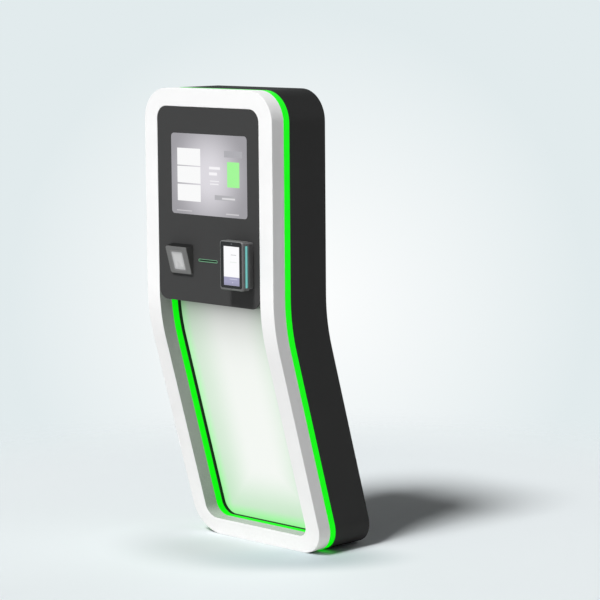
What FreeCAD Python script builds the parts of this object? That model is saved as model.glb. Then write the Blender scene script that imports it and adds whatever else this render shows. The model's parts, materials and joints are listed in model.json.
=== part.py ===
# Parking entry terminal: a free-standing cabinet, bent at its middle, with a white front
# frame, a green light line round it, a touch screen, a code reader, a ticket slot and a
# payment device above a lit recess.  Millimetres.  X is the viewer's right, Y runs from
# the front to the back and Z is up.  The origin is on the floor, at the centre of the
# four floor anchors.  "Depth" is always measured horizontally from the front surface.

import FreeCAD
import Part

import math
import os

V = FreeCAD.Vector

# Overall form
BEND_HEIGHT = 740.0
UPPER_HEIGHT = 710.0
WIDTH = 572.0
LEAN_ANGLE = 16.0
BEND_RADIUS = 600.0
CORNER_RADIUS = 97.0
MARGIN = 60.0
OVERRUN = 1.0
TOUCH = 0.01

# Depth of each layer of the casing
FRAME_DEPTH = 49.0
LIGHT_DEPTH = 25.0
SHELL_DEPTH = 152.0

# Front frame
FRAME_SIDE = 58.0
FRAME_TOP = 55.5
FRAME_BOTTOM = 55.8
OPENING_RADIUS = 40.0
FRAME_SHEET = 3.0
FRAME_EDGE_ROUND = 1.6

# Light ring
GUIDE_GAP = 0.5
OUTER_GUIDE_WALL = 8.0
INNER_GUIDE_WALL = 6.0
STRIP_GAP = 2.0
STRIP_THICKNESS = 1.5
STRIP_WIDTH = 10.0
CARRIER_SHEET = 2.0
CARRIER_DEPTH = 14.0

# Frame studs and their nuts
STUD_RADIUS = 2.5
STUD_HOLE_GAP = 0.3
STUD_INSET = 24.0
NUT_RADIUS = 4.2
NUT_HEIGHT = 4.0
STUD_END_GAP = 3.0
STUD_ROWS = 6
STUD_LOW_END = 200.0
STUD_HIGH_END = 150.0
STUD_ACROSS = 110.0

# Rear shell
SHELL_SHEET = 2.0
SHELL_FLANGE = 3.0

# Small screws, all of one size
SCREW_RADIUS = 1.9
SCREW_HOLE_GAP = 0.25
SCREW_HEAD_RADIUS = 4.0
SCREW_HEAD_HEIGHT = 2.2
SCREW_GRIP = 5.0

# Lit recess
SURROUND_WIDTH = 22.0
SURROUND_DEPTH = 10.0
RECESS_SHEET = 3.0
RECESS_LAP = 12.0
RECESS_RISE = 46.0
TRAY_DEPTH = 22.0
TRAY_SHEET = 1.5
TRAY_WALL_OUTSET = 10.0
TRAY_TOP_GAP = 5.0
BOARD_SHEET = 2.0
BOARD_INSET = 4.0
SURROUND_SCREW_OUTSET = 16.0
SURROUND_SCREW_ROWS = 3
SURROUND_SCREW_LOW_END = 150.0
SURROUND_SCREW_BEND_GAP = 140.0
SURROUND_SCREW_ACROSS = 120.0

# Control panel
PANEL_RISE = 49.0
PANEL_RECESS = 1.2
PANEL_SHEET = 3.0
PANEL_GAP = 0.8
PANEL_LOWER_RADIUS = 36.0
PANEL_RETURN = 22.0
PANEL_RETURN_SHEET = 2.0
PANEL_EDGE_ROUND = 0.8
PANEL_SCREW_ROWS = 3
PANEL_SCREW_LOW_END = 111.0
PANEL_SCREW_HIGH_END = 64.0
PANEL_SCREW_DEPTH = 15.0
CEILING_SHEET = 1.6
CEILING_RISE = 8.0
CEILING_END_GAP = 0.2

# Touch screen
SCREEN_WIDTH = 340.0
SCREEN_HEIGHT = 250.0
SCREEN_CENTRE_X = 5.0
SCREEN_LIFT_SHARE = 0.44
SCREEN_RADIUS = 12.0
SCREEN_GAP = 0.5
GLASS_SHEET = 3.0
MODULE_LAP = 6.0
MODULE_DEPTH = 20.0
MODULE_BACK_INSET = 28.0
MODULE_BACK_DEPTH = 12.0
MODULE_RADIUS = 5.0

# Ticket slot
SLOT_WIDTH = 89.0
SLOT_HEIGHT = 12.0
SLOT_CENTRE_X = -2.5
SLOT_RISE = 74.5
SLOT_GAP = 0.5
SLOT_PROUD = 0.4
SLOT_RIM = 2.0
SLOT_FLANGE_LAP = 4.0
SLOT_FLANGE_SHEET = 1.8
THROAT_GAP = 0.2
THROAT_WIDTH = 81.0
THROAT_HEIGHT = 5.0
THROAT_BACK = 46.0
FLAP_GAP = 0.3
FLAP_PIN_RADIUS = 0.6
FLAP_PIN_GAP = 0.06
FLAP_PIN_LENGTH = 0.9
FLAP_DEPTH = 8.0

# Code reader
READER_WIDTH = 95.0
READER_CENTRE_X = -117.5
READER_RISE = 28.0
READER_HEIGHT = 85.0
READER_TOP_REACH = 30.0
READER_BOTTOM_REACH = 6.5
READER_TOP_SLOPE = 7.0
READER_FOOT_SLOPE = 3.0
READER_RADIUS = 7.0
BEZEL_SHEET = 3.0
WINDOW_WIDTH = 50.0
WINDOW_HEIGHT = 58.0
WINDOW_SHIFT_X = -1.5
WINDOW_SHIFT_Z = -2.6
WINDOW_RADIUS = 5.0
WINDOW_GAP = 0.2
WINDOW_SINK = 0.6
WINDOW_LEDGE = 3.0
READER_WALL = 4.0
ENGINE_WIDTH = 32.0
ENGINE_HEIGHT = 24.0
ENGINE_DEPTH = 12.0
ENGINE_STANDBACK = 8.0
ENGINE_LENS_RADIUS = 5.0
ENGINE_LENS_LENGTH = 2.5
ENGINE_POST = 14.0
ENGINE_PLATE_WIDTH = 80.0
ENGINE_PLATE_HEIGHT = 60.0
ENGINE_PLATE_SHEET = 2.0
READER_CUTOUT_WIDTH = 60.0
READER_CUTOUT_HEIGHT = 44.0

# Payment device
PAY_LEFT = 101.0
PAY_WIDTH = 102.5
PAY_RISE = 59.0
PAY_HEIGHT = 150.0
PAY_REACH = 46.5
PAY_RADIUS = 9.0
PAY_BEVEL = 3.0
PAY_STEP_DEPTH = 28.0
PAY_STEP = 4.0
PAY_WALL = 4.5
PAY_GLASS_SIDE = 5.2
PAY_GLASS_TOP = 3.2
PAY_GLASS_BOTTOM = 6.8
PAY_GLASS_RADIUS = 6.0
PAY_GLASS_SHEET = 3.0
PAY_GLASS_PROUD = 0.2
PAY_GLASS_GAP = 0.4
PAY_SCREEN_WIDTH = 70.0
PAY_SCREEN_HEIGHT = 120.5
PAY_SCREEN_LEFT = 18.0
PAY_SCREEN_BOTTOM = 15.5
PAY_SCREEN_SHEET = 3.0
PAY_SCREEN_GAP = 1.0
PAY_LENS_RADIUS = 2.2
PAY_LENS_GAP = 0.15
PAY_LENS_DROP = 8.5
PAY_LENS_SINK = 0.3
PAY_BAR_FRONT = 9.5
PAY_BAR_WIDTH = 13.0
PAY_BAR_THICKNESS = 2.5
PAY_BAR_BOTTOM = 10.0
PAY_BAR_LENGTH = 127.0
PAY_BAR_GAP = 0.15

# Rear door
DOOR_HALF_WIDTH = 210.0
DOOR_RISE = 63.0
DOOR_DROP = 52.0
DOOR_GAP = 2.0
DOOR_SHEET = 2.0
DOOR_RETURN = 13.0
DOOR_RADIUS = 6.0
REBATE_WALL_GAP = 2.0
REBATE_SHEET = 2.0
REBATE_WIDTH = 20.0
GASKET_SHEET = 3.5
GASKET_WIDTH = 9.0
GASKET_GAP = 0.5
DOOR_SLOT_WIDTH = 70.0
DOOR_SLOT_HEIGHT = 4.0
DOOR_SLOT_PITCH = 9.0
DOOR_SLOTS = 8

# Door hinges
HINGE_REACH = 4.0
HINGE_BARREL_RADIUS = 4.0
HINGE_PIN_RADIUS = 2.0
HINGE_PIN_GAP = 0.06
HINGE_KNUCKLE = 14.0
HINGE_KNUCKLE_GAP = 0.3
HINGE_LEAF = 28.0
HINGE_SHEET = 2.0
HINGE_LOW_END = 73.0
HINGE_HIGH_END = 108.0

# Door lock
LOCK_X = 180.0
LOCK_RADIUS = 9.4
LOCK_HOLE_GAP = 0.1
LOCK_HEAD_RADIUS = 12.0
LOCK_HEAD_HEIGHT = 3.0
LOCK_NUT_RADIUS = 14.0
LOCK_NUT_HEIGHT = 6.0
LOCK_BODY_LENGTH = 26.0
PLUG_RADIUS = 6.0
PLUG_GAP = 0.06
KEYWAY_WIDTH = 1.6
KEYWAY_LENGTH = 8.0
KEYWAY_DEPTH = 4.0
CAM_LENGTH = 34.0
CAM_TAIL = 7.0
CAM_ROUND = 5.5
CAM_WIDTH = 12.0
CAM_SHEET = 2.5
CAM_GAP = 1.0

# Fan on the door
FAN_X = 0.0
FAN_DROP = 78.0
FAN_SIZE = 92.0
FAN_DEPTH = 25.0
FAN_ROUND = 5.0
FAN_BORE_RADIUS = 43.5
FAN_HUB_RADIUS = 16.0
FAN_HUB_GAP = 1.0
FAN_HUB_SHEET = 3.0
FAN_STRUT = 5.0
FAN_BLADES = 7
FAN_TIP_GAP = 2.0
FAN_BLADE_SHEET = 1.6
FAN_BLADE_WIDTH = 17.0
FAN_BLADE_PITCH = 40.0
FAN_SHAFT_RADIUS = 2.0
FAN_SHAFT_GAP = 0.06
FAN_SCREW_RADIUS = 2.2
FAN_SCREW_INSET = 5.0

# Lower rear cover
COVER_HALF_WIDTH = 190.0
COVER_BOTTOM = 130.0
COVER_BEND_GAP = 180.0
COVER_SHEET = 2.0
COVER_LAP = 14.0
COVER_RADIUS = 10.0
COVER_SCREW_INSET = 7.0
COVER_SCREW_ROWS = 3
COVER_SCREW_END = 20.0
COVER_SLOTS = 7
COVER_SLOT_PITCH = 14.0
COVER_SLOT_HEIGHT = 5.0
COVER_SLOT_WIDTH = 160.0
COVER_SLOT_DROP = 120.0

# Base
BASE_CENTRE_DEPTH = 147.0
BASE_HALF_WIDTH = 185.0
BASE_HALF_DEPTH = 66.0
BASE_SHEET = 32.0
BASE_GAP = 1.0
ANCHOR_SPACING_X = 250.0
ANCHOR_SPACING_Y = 90.0
ANCHOR_RADIUS = 7.0
CABLE_HOLE_RADIUS = 26.0
GROMMET_RADIUS = 20.0
GROMMET_LIP = 4.0
GROMMET_LIP_HEIGHT = 3.0
GROMMET_LIFT = 0.5
BALLAST_INNER_X = 32.0
BALLAST_WIDTH = 80.0
BALLAST_LAYERS = 8
BALLAST_SHEET = 28.0
BALLAST_GAP = 3.0
POST_INNER_X = 150.0
POST_WIDTH = 34.0
POST_DEPTH = 50.0
POST_FRONT_DEPTH = 150.0
POST_WALL = 3.0
BRACKET_ROWS = 3
BRACKET_LOW_END = 300.0
BRACKET_HIGH_END = 40.0
BRACKET_WIDTH = 30.0
BRACKET_SHEET = 3.0
BRACKET_TAB = 30.0

# Shelf and ticket printer
SHELF_DROP = 62.5
SHELF_SHEET = 3.0
SHELF_HALF_WIDTH = 205.0
SHELF_FRONT_DEPTH = 46.0
SHELF_BACK_DEPTH = 204.0
SHELF_LIP = 14.0
CHASSIS_WIDTH = 119.0
CHASSIS_FRONT_DEPTH = 62.0
CHASSIS_BACK_DEPTH = 196.0
CHASSIS_SHEET = 2.5
CHASSIS_RISE = 61.5
CHASSIS_FRONT_RISE = 23.5
CHASSIS_STEP_DEPTH = 112.0
PLATEN_RADIUS = 9.0
PLATEN_DEPTH = 76.0
PLATEN_LENGTH = 84.0
PLATEN_SHAFT_RADIUS = 3.0
PLATEN_SHAFT_END = 1.0
SHAFT_GAP = 0.06
GEAR_MODULE = 1.0
PLATEN_TEETH = 40
PINION_TEETH = 12
GEAR_WIDTH = 7.0
GEAR_GAP = 1.5
GEAR_CLEARANCE = 0.12
TOOTH_ROOT = 1.25
TOOTH_TIP = 0.9
TOOTH_ROOT_SHARE = 0.36
TOOTH_PITCH_SHARE = 0.235
TOOTH_TIP_SHARE = 0.1
PINION_ANGLE = -75.0
MOTOR_SIZE = 28.0
MOTOR_LENGTH = 30.0
MOTOR_SHAFT_RADIUS = 1.5
MOTOR_SHAFT_SINK = 12.0
MOTOR_BEVEL = 2.8
HEAD_GAP = 0.3
HEAD_WIDTH = 86.0
HEAD_FRONT_DEPTH = 67.0
HEAD_BACK_DEPTH = 90.0
HEAD_HEIGHT = 11.0
HEAD_ARM_SHEET = 3.0
HEAD_PIVOT_DEPTH = 100.0
HEAD_PIVOT_RISE = 12.5
HEAD_PIVOT_RADIUS = 2.5
HEAD_ARM_RADIUS = 5.5
CUTTER_FRONT_DEPTH = 47.0
CUTTER_BACK_DEPTH = 59.0
CUTTER_WIDTH = 104.0
CUTTER_POST = 8.0
CUTTER_RISE = 29.5
BLADE_SHEET = 1.4
BLADE_GAP = 0.1
BLADE_LIFT = 4.5
BLADE_HEIGHT = 15.0
BLADE_TRAVEL = 8.0
BLADE_ENGAGE = 4.0
CUTTER_SLOT_HEIGHT = 8.0
ROLL_DEPTH = 150.0
ROLL_RISE = 37.5
ROLL_RADIUS = 45.0
ROLL_WIDTH = 80.0
SPINDLE_RADIUS = 6.0
SPINDLE_GAP = 0.08
SPINDLE_FLANGE = 3.0
SPINDLE_FLANGE_RADIUS = 9.0

# Equipment plate and what is on it
PLATE_DEPTH = 118.0
PLATE_SHEET = 2.0
PLATE_RISE = 139.5
PLATE_DROP = 58.0
PLATE_BOX_DROP = 20.0
PLATE_RETURN = 20.0
PLATE_WINDOW_SIDE = 30.0
PLATE_WINDOW_WIDTH = 60.0
PLATE_WINDOW_END = 60.0
PLATE_WINDOW_RADIUS = 10.0
CONTROLLER_LEFT = -180.0
CONTROLLER_WIDTH = 200.0
CONTROLLER_HEIGHT = 140.0
CONTROLLER_DEPTH = 42.0
FINS = 12
FIN_SHEET = 3.0
FIN_DEPTH = 12.0
SUPPLY_LEFT = 80.0
SUPPLY_WIDTH = 100.0
SUPPLY_HEIGHT = 160.0
SUPPLY_DEPTH = 38.0
SUPPLY_SHEET = 1.5
SUPPLY_SLOTS = 8
SUPPLY_SLOT_PITCH = 14.0
SUPPLY_SLOT_HEIGHT = 4.0
BREAKER_LEFT = 32.0
BREAKER_WIDTH = 36.0
BREAKER_RISE = 8.0
BREAKER_HEIGHT = 84.0
BREAKER_DEPTH = 50.0
BREAKER_NOSE_HEIGHT = 44.0
BREAKER_NOSE_DEPTH = 12.0
TOGGLE_RADIUS = 5.0
TOGGLE_GAP = 0.3
TOGGLE_LENGTH = 13.0
TOGGLE_SHEET = 4.0
TOGGLE_WIDTH = 20.0
TOGGLE_PIN_RADIUS = 1.2
TOGGLE_PIN_GAP = 0.06
TOGGLE_RISE_ANGLE = 30.0

# Derived values
LEAN = math.radians(LEAN_ANGLE)
HEIGHT = BEND_HEIGHT + UPPER_HEIGHT
FOOT_SETBACK = math.tan(LEAN) * BEND_HEIGHT
FRONT_Y = -(BASE_CENTRE_DEPTH + FOOT_SETBACK)
LIGHT_FRONT = FRAME_DEPTH
SHELL_FRONT = FRAME_DEPTH + LIGHT_DEPTH
DEPTH = SHELL_FRONT + SHELL_DEPTH
HALF_WIDTH = WIDTH / 2
OPENING_HALF = HALF_WIDTH - FRAME_SIDE
OPENING_BOTTOM = FRAME_BOTTOM
OPENING_TOP = HEIGHT - FRAME_TOP
SHELL_INNER_X = HALF_WIDTH - SHELL_SHEET
SURROUND_FRONT = SHELL_FRONT + SHELL_FLANGE
RECESS_FRONT = SURROUND_FRONT + SURROUND_DEPTH
PANEL_BOTTOM = BEND_HEIGHT + PANEL_RISE
RECESS_TOP = PANEL_BOTTOM + RECESS_RISE
TRAY_FRONT = RECESS_FRONT + RECESS_SHEET
TRAY_BACK = TRAY_FRONT + TRAY_DEPTH
TRAY_TOP = RECESS_TOP + TRAY_TOP_GAP
PANEL_BACK = PANEL_RECESS + PANEL_SHEET
PANEL_HALF = OPENING_HALF - PANEL_GAP
PANEL_TOP = OPENING_TOP - PANEL_GAP
PANEL_TOP_RADIUS = OPENING_RADIUS - PANEL_GAP
PAY_BOTTOM = PANEL_BOTTOM + PAY_RISE
PAY_TOP = PAY_BOTTOM + PAY_HEIGHT
SCREEN_BOTTOM = PAY_TOP + (PANEL_TOP - PAY_TOP - SCREEN_HEIGHT) * SCREEN_LIFT_SHARE
SLOT_CENTRE_Z = PAY_BOTTOM + SLOT_RISE
READER_BOTTOM = PAY_BOTTOM + READER_RISE
READER_TOP = READER_BOTTOM + READER_HEIGHT
SCREW_HOLE = SCREW_RADIUS + SCREW_HOLE_GAP
BACK_INNER = DEPTH - SHELL_SHEET
READER_TILT = math.atan2(READER_TOP_REACH - READER_BOTTOM_REACH, READER_TOP - READER_BOTTOM)
READER_FACE = math.hypot(READER_TOP_REACH - READER_BOTTOM_REACH, READER_TOP - READER_BOTTOM)
READER_CENTRE_DEPTH = -(READER_TOP_REACH + READER_BOTTOM_REACH) / 2
READER_CENTRE_Z = (READER_TOP + READER_BOTTOM) / 2
DOOR_BOTTOM = PANEL_BOTTOM + DOOR_RISE
DOOR_TOP = HEIGHT - DOOR_DROP
LOCK_Z = (DOOR_BOTTOM + DOOR_TOP) / 2
FAN_Z = DOOR_TOP - FAN_DROP
COVER_TOP = BEND_HEIGHT - COVER_BEND_GAP
SHELF_BOTTOM = SLOT_CENTRE_Z - SHELF_DROP
REBATE_OUTER = DOOR_HALF_WIDTH + DOOR_GAP + REBATE_WALL_GAP + REBATE_SHEET
DOOR_RETURN_DEPTH = DEPTH - DOOR_SHEET - DOOR_RETURN
REBATE_DEPTH = DOOR_RETURN_DEPTH - GASKET_GAP - GASKET_SHEET - REBATE_SHEET
HINGE_X = -(DOOR_HALF_WIDTH + DOOR_GAP)
HINGE_DEPTH = DEPTH + HINGE_REACH
PLATEN_Z = SLOT_CENTRE_Z - PLATEN_RADIUS
HEAD_PIVOT_Z = SLOT_CENTRE_Z + HEAD_PIVOT_RISE
PLATEN_GEAR_RADIUS = GEAR_MODULE * PLATEN_TEETH / 2
PINION_GEAR_RADIUS = GEAR_MODULE * PINION_TEETH / 2
GEAR_DISTANCE = PLATEN_GEAR_RADIUS + PINION_GEAR_RADIUS + GEAR_CLEARANCE
PINION_DEPTH = PLATEN_DEPTH + GEAR_DISTANCE * math.cos(math.radians(PINION_ANGLE))
PINION_Z = PLATEN_Z + GEAR_DISTANCE * math.sin(math.radians(PINION_ANGLE))
CHASSIS_LEFT = SLOT_CENTRE_X - CHASSIS_WIDTH / 2
CHASSIS_RIGHT = SLOT_CENTRE_X + CHASSIS_WIDTH / 2
CHASSIS_BOTTOM = SHELF_BOTTOM + SHELF_SHEET
CHASSIS_TOP = SLOT_CENTRE_Z + CHASSIS_RISE
CUTTER_TOP = SLOT_CENTRE_Z + CUTTER_RISE
ROLL_Z = SLOT_CENTRE_Z + ROLL_RISE
GEAR_LEFT = CHASSIS_RIGHT + GEAR_GAP
PAY_GLASS_BACK = -PAY_REACH - PAY_GLASS_PROUD + PAY_GLASS_SHEET
PLATE_BOTTOM = SLOT_CENTRE_Z + PLATE_RISE
PLATE_TOP = DOOR_TOP - PLATE_DROP
CONTROLLER_BOTTOM = PLATE_TOP - PLATE_BOX_DROP - CONTROLLER_HEIGHT
SUPPLY_BOTTOM = PLATE_TOP - PLATE_BOX_DROP - SUPPLY_HEIGHT
BREAKER_BOTTOM = PLATE_BOTTOM + BREAKER_RISE
TOGGLE_Z = BREAKER_BOTTOM + BREAKER_HEIGHT / 2
TOGGLE_DEPTH = PLATE_DEPTH + PLATE_SHEET + BREAKER_DEPTH


# Basic shapes

def block(x0, x1, y0, y1, z0, z1):
    return Part.makeBox(x1 - x0, y1 - y0, z1 - z0, V(x0, y0, z0))


def rod_x(radius, x0, x1, y, z):
    return Part.makeCylinder(radius, x1 - x0, V(x0, y, z), V(1, 0, 0))


def rod_y(radius, y0, y1, x, z):
    return Part.makeCylinder(radius, y1 - y0, V(x, y0, z), V(0, 1, 0))


def rod_z(radius, z0, z1, x, y):
    return Part.makeCylinder(radius, z1 - z0, V(x, y, z0), V(0, 0, 1))


def at_depth(depth):
    """Y of a depth behind the upright upper front."""
    return FRONT_Y + depth


def rows(low, high, count):
    """Evenly spaced heights from low to high."""
    return [low + (high - low) * index / (count - 1) for index in range(count)]


def front_y(z):
    """Y of the front surface at a height, through the bend."""
    tangent = BEND_RADIUS * math.tan(LEAN / 2)
    arc_top = BEND_HEIGHT + tangent
    arc_bottom = BEND_HEIGHT - tangent * math.cos(LEAN)
    if z >= arc_top:
        return FRONT_Y
    if z <= arc_bottom:
        return FRONT_Y + (BEND_HEIGHT - z) * math.tan(LEAN)
    drop = arc_top - z
    return FRONT_Y + BEND_RADIUS - math.sqrt(BEND_RADIUS ** 2 - drop ** 2)


def rounded_wire(x0, x1, z0, z1, radius, upper_radius=None):
    """Closed rectangle in the XZ plane with round corners."""
    low = radius
    high = radius if upper_radius is None else upper_radius
    corners = [
        (x1 - low, z0 + low, low, -90),
        (x1 - high, z1 - high, high, 0),
        (x0 + high, z1 - high, high, 90),
        (x0 + low, z0 + low, low, 180),
    ]
    arcs = []
    for cx, cz, r, start in corners:
        points = []
        for turn in (0, 45, 90):
            a = math.radians(start + turn)
            points.append(V(cx + r * math.cos(a), 0, cz + r * math.sin(a)))
        arcs.append(points)
    edges = []
    for index, (begin, middle, end) in enumerate(arcs):
        edges.append(Part.Arc(begin, middle, end).toShape())
        following = arcs[(index + 1) % 4][0]
        if end.distanceToPoint(following) > TOUCH:
            edges.append(Part.LineSegment(end, following).toShape())
    return Part.Wire(edges)


def rounded_plate(x0, x1, z0, z1, radius, y0, y1, upper_radius=None):
    """Rounded rectangle facing front, from y0 to y1."""
    face = Part.Face(rounded_wire(x0, x1, z0, z1, radius, upper_radius))
    solid = face.extrude(V(0, y1 - y0, 0))
    solid.translate(V(0, y0, 0))
    return solid


def side_curve(depth):
    """Points of the bent side line at a depth, from below the floor to above the top."""
    tangent = BEND_RADIUS * math.tan(LEAN / 2)
    y = FRONT_Y + depth
    centre_y = y + BEND_RADIUS
    centre_z = BEND_HEIGHT + tangent
    return [
        V(0, y + (BEND_HEIGHT + MARGIN) * math.tan(LEAN), -MARGIN),
        V(0, centre_y - BEND_RADIUS * math.cos(LEAN), centre_z - BEND_RADIUS * math.sin(LEAN)),
        V(0, centre_y - BEND_RADIUS * math.cos(LEAN / 2), centre_z - BEND_RADIUS * math.sin(LEAN / 2)),
        V(0, y, centre_z),
        V(0, y, HEIGHT + MARGIN),
    ]


def band(depth0, depth1, x0=-HALF_WIDTH - MARGIN, x1=HALF_WIDTH + MARGIN):
    """Space between two depths, which follows the bend."""
    near = side_curve(depth0)
    far = side_curve(depth1)
    edges = [
        Part.LineSegment(near[0], near[1]).toShape(),
        Part.Arc(near[1], near[2], near[3]).toShape(),
        Part.LineSegment(near[3], near[4]).toShape(),
        Part.LineSegment(near[4], far[4]).toShape(),
        Part.LineSegment(far[4], far[3]).toShape(),
        Part.Arc(far[3], far[2], far[1]).toShape(),
        Part.LineSegment(far[1], far[0]).toShape(),
        Part.LineSegment(far[0], near[0]).toShape(),
    ]
    solid = Part.Face(Part.Wire(edges)).extrude(V(x1 - x0, 0, 0))
    solid.translate(V(x0, 0, 0))
    return solid


def outline(inset):
    """Outer outline of the casing, moved inwards."""
    return rounded_plate(
        -HALF_WIDTH + inset, HALF_WIDTH - inset, inset, HEIGHT - inset,
        CORNER_RADIUS - inset, FRONT_Y - MARGIN, FRONT_Y + FOOT_SETBACK + DEPTH + MARGIN,
    )


def opening(outset):
    """Opening of the front frame, moved outwards."""
    return rounded_plate(
        -OPENING_HALF - outset, OPENING_HALF + outset,
        OPENING_BOTTOM - outset, OPENING_TOP + outset,
        OPENING_RADIUS + outset, FRONT_Y - MARGIN, FRONT_Y + FOOT_SETBACK + DEPTH + MARGIN,
    )


def layer(prism, depth0, depth1):
    return prism.common(band(depth0, depth1))


def below(z):
    """Everything under a height."""
    return block(
        -WIDTH, WIDTH, FRONT_Y - 2 * MARGIN, FRONT_Y + FOOT_SETBACK + DEPTH + 2 * MARGIN, -MARGIN, z,
    )


def bent_pin(radius, x, z, depth0, depth1):
    """Pin along Y whose ends follow the bend."""
    y = front_y(z)
    rod = rod_y(radius, y + depth0 - MARGIN / 2, y + depth1 + MARGIN / 2, x, z)
    return rod.common(band(depth0, depth1, x - MARGIN / 2, x + MARGIN / 2))


def group(solids):
    return Part.makeCompound(solids)


def is_at_depth(edge, depth):
    """Whether an edge lies on the surface at a depth."""
    first, last = edge.ParameterRange
    for share in (0, 0.5, 1):
        point = edge.valueAt(first + (last - first) * share)
        if abs(point.y - front_y(point.z) - depth) > TOUCH:
            return False
    return True


def soften(shape, radius, depth):
    """Round the edges of a shape that lie at a depth."""
    return shape.makeFillet(radius, [e for e in shape.Edges if is_at_depth(e, depth)])


# Casing

def stud_places():
    side = HALF_WIDTH - STUD_INSET
    heights = rows(STUD_LOW_END, HEIGHT - STUD_HIGH_END, STUD_ROWS)
    places = [(sign * side, z) for sign in (-1, 1) for z in heights]
    for z in (STUD_INSET, HEIGHT - STUD_INSET):
        places += [(-STUD_ACROSS, z), (STUD_ACROSS, z)]
    return places


def surround_screw_places():
    side = OPENING_HALF + SURROUND_SCREW_OUTSET
    heights = rows(
        SURROUND_SCREW_LOW_END, BEND_HEIGHT - SURROUND_SCREW_BEND_GAP, SURROUND_SCREW_ROWS,
    )
    places = [(sign * side, z) for sign in (-1, 1) for z in heights]
    bottom = OPENING_BOTTOM - SURROUND_SCREW_OUTSET
    return places + [(-SURROUND_SCREW_ACROSS, bottom), (SURROUND_SCREW_ACROSS, bottom)]


def panel_screw_heights():
    return rows(
        PANEL_BOTTOM + PANEL_SCREW_LOW_END, PANEL_TOP - PANEL_SCREW_HIGH_END, PANEL_SCREW_ROWS,
    )


def front_frame():
    ring = layer(outline(0).cut(opening(0)), 0, FRAME_DEPTH)
    channel = layer(
        outline(FRAME_SHEET).cut(opening(FRAME_SHEET)), FRAME_SHEET, FRAME_DEPTH + MARGIN / 2,
    )
    ring = soften(ring, FRAME_EDGE_ROUND, 0).cut(channel)
    for sign in (-1, 1):
        for z in panel_screw_heights():
            inner = sign * (OPENING_HALF - FRAME_SHEET)
            outer = sign * (OPENING_HALF + 2 * FRAME_SHEET)
            ring = ring.cut(rod_x(
                SCREW_HOLE, min(inner, outer), max(inner, outer), at_depth(PANEL_SCREW_DEPTH), z,
            ))
    return ring


def outer_light_guide():
    ring = outline(GUIDE_GAP).cut(outline(GUIDE_GAP + OUTER_GUIDE_WALL))
    return layer(ring, LIGHT_FRONT, SHELL_FRONT)


def inner_light_guide():
    ring = opening(GUIDE_GAP + INNER_GUIDE_WALL).cut(opening(GUIDE_GAP))
    return layer(ring, LIGHT_FRONT, SHELL_FRONT)


def carrier_outer():
    return GUIDE_GAP + OUTER_GUIDE_WALL + STRIP_GAP + STRIP_THICKNESS


def carrier_inner():
    return GUIDE_GAP + INNER_GUIDE_WALL + STRIP_GAP + STRIP_THICKNESS


def led_carrier():
    outer = carrier_outer()
    inner = carrier_inner()
    ring = outline(outer).cut(opening(inner))
    hollow = outline(outer + CARRIER_SHEET).cut(opening(inner + CARRIER_SHEET))
    front = SHELL_FRONT - CARRIER_DEPTH
    carrier = layer(ring, front, SHELL_FRONT)
    carrier = carrier.cut(layer(hollow, front - MARGIN / 2, SHELL_FRONT - CARRIER_SHEET))
    for x, z in stud_places():
        carrier = carrier.cut(bent_pin(
            STUD_RADIUS + STUD_HOLE_GAP, x, z, front, SHELL_FRONT + CARRIER_SHEET,
        ))
    return carrier


def led_strips():
    outer = carrier_outer()
    inner = carrier_inner()
    middle = SHELL_FRONT - CARRIER_DEPTH / 2
    depths = (middle - STRIP_WIDTH / 2, middle + STRIP_WIDTH / 2)
    return group([
        layer(outline(outer - STRIP_THICKNESS).cut(outline(outer)), *depths),
        layer(opening(inner).cut(opening(inner - STRIP_THICKNESS)), *depths),
    ])


def frame_fasteners():
    solids = []
    for x, z in stud_places():
        end = SURROUND_FRONT + NUT_HEIGHT + STUD_END_GAP
        solids.append(bent_pin(STUD_RADIUS, x, z, FRAME_SHEET, end))
        nut = bent_pin(NUT_RADIUS, x, z, SURROUND_FRONT, SURROUND_FRONT + NUT_HEIGHT)
        solids.append(nut.cut(bent_pin(STUD_RADIUS, x, z, 0, DEPTH / 2)))
    return group(solids)


def door_opening(outset, y0, y1):
    half = DOOR_HALF_WIDTH + outset
    radius = max(DOOR_RADIUS + outset, DOOR_RADIUS - DOOR_SHEET)
    return rounded_plate(-half, half, DOOR_BOTTOM - outset, DOOR_TOP + outset, radius, y0, y1)


def cover_outline(inset, depth0, depth1):
    half = COVER_HALF_WIDTH - inset
    prism = rounded_plate(
        -half, half, COVER_BOTTOM + inset, COVER_TOP - inset,
        COVER_RADIUS, FRONT_Y, FRONT_Y + FOOT_SETBACK + DEPTH + MARGIN,
    )
    return layer(prism, depth0, depth1)


def cover_screw_places():
    side = COVER_HALF_WIDTH - COVER_SCREW_INSET
    low = COVER_BOTTOM + COVER_SCREW_INSET
    high = COVER_TOP - COVER_SCREW_INSET
    heights = rows(COVER_BOTTOM + COVER_SCREW_END, COVER_TOP - COVER_SCREW_END, COVER_SCREW_ROWS)
    places = [(sign * side, z) for sign in (-1, 1) for z in heights]
    return places + [(0, low), (0, high)]


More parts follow.
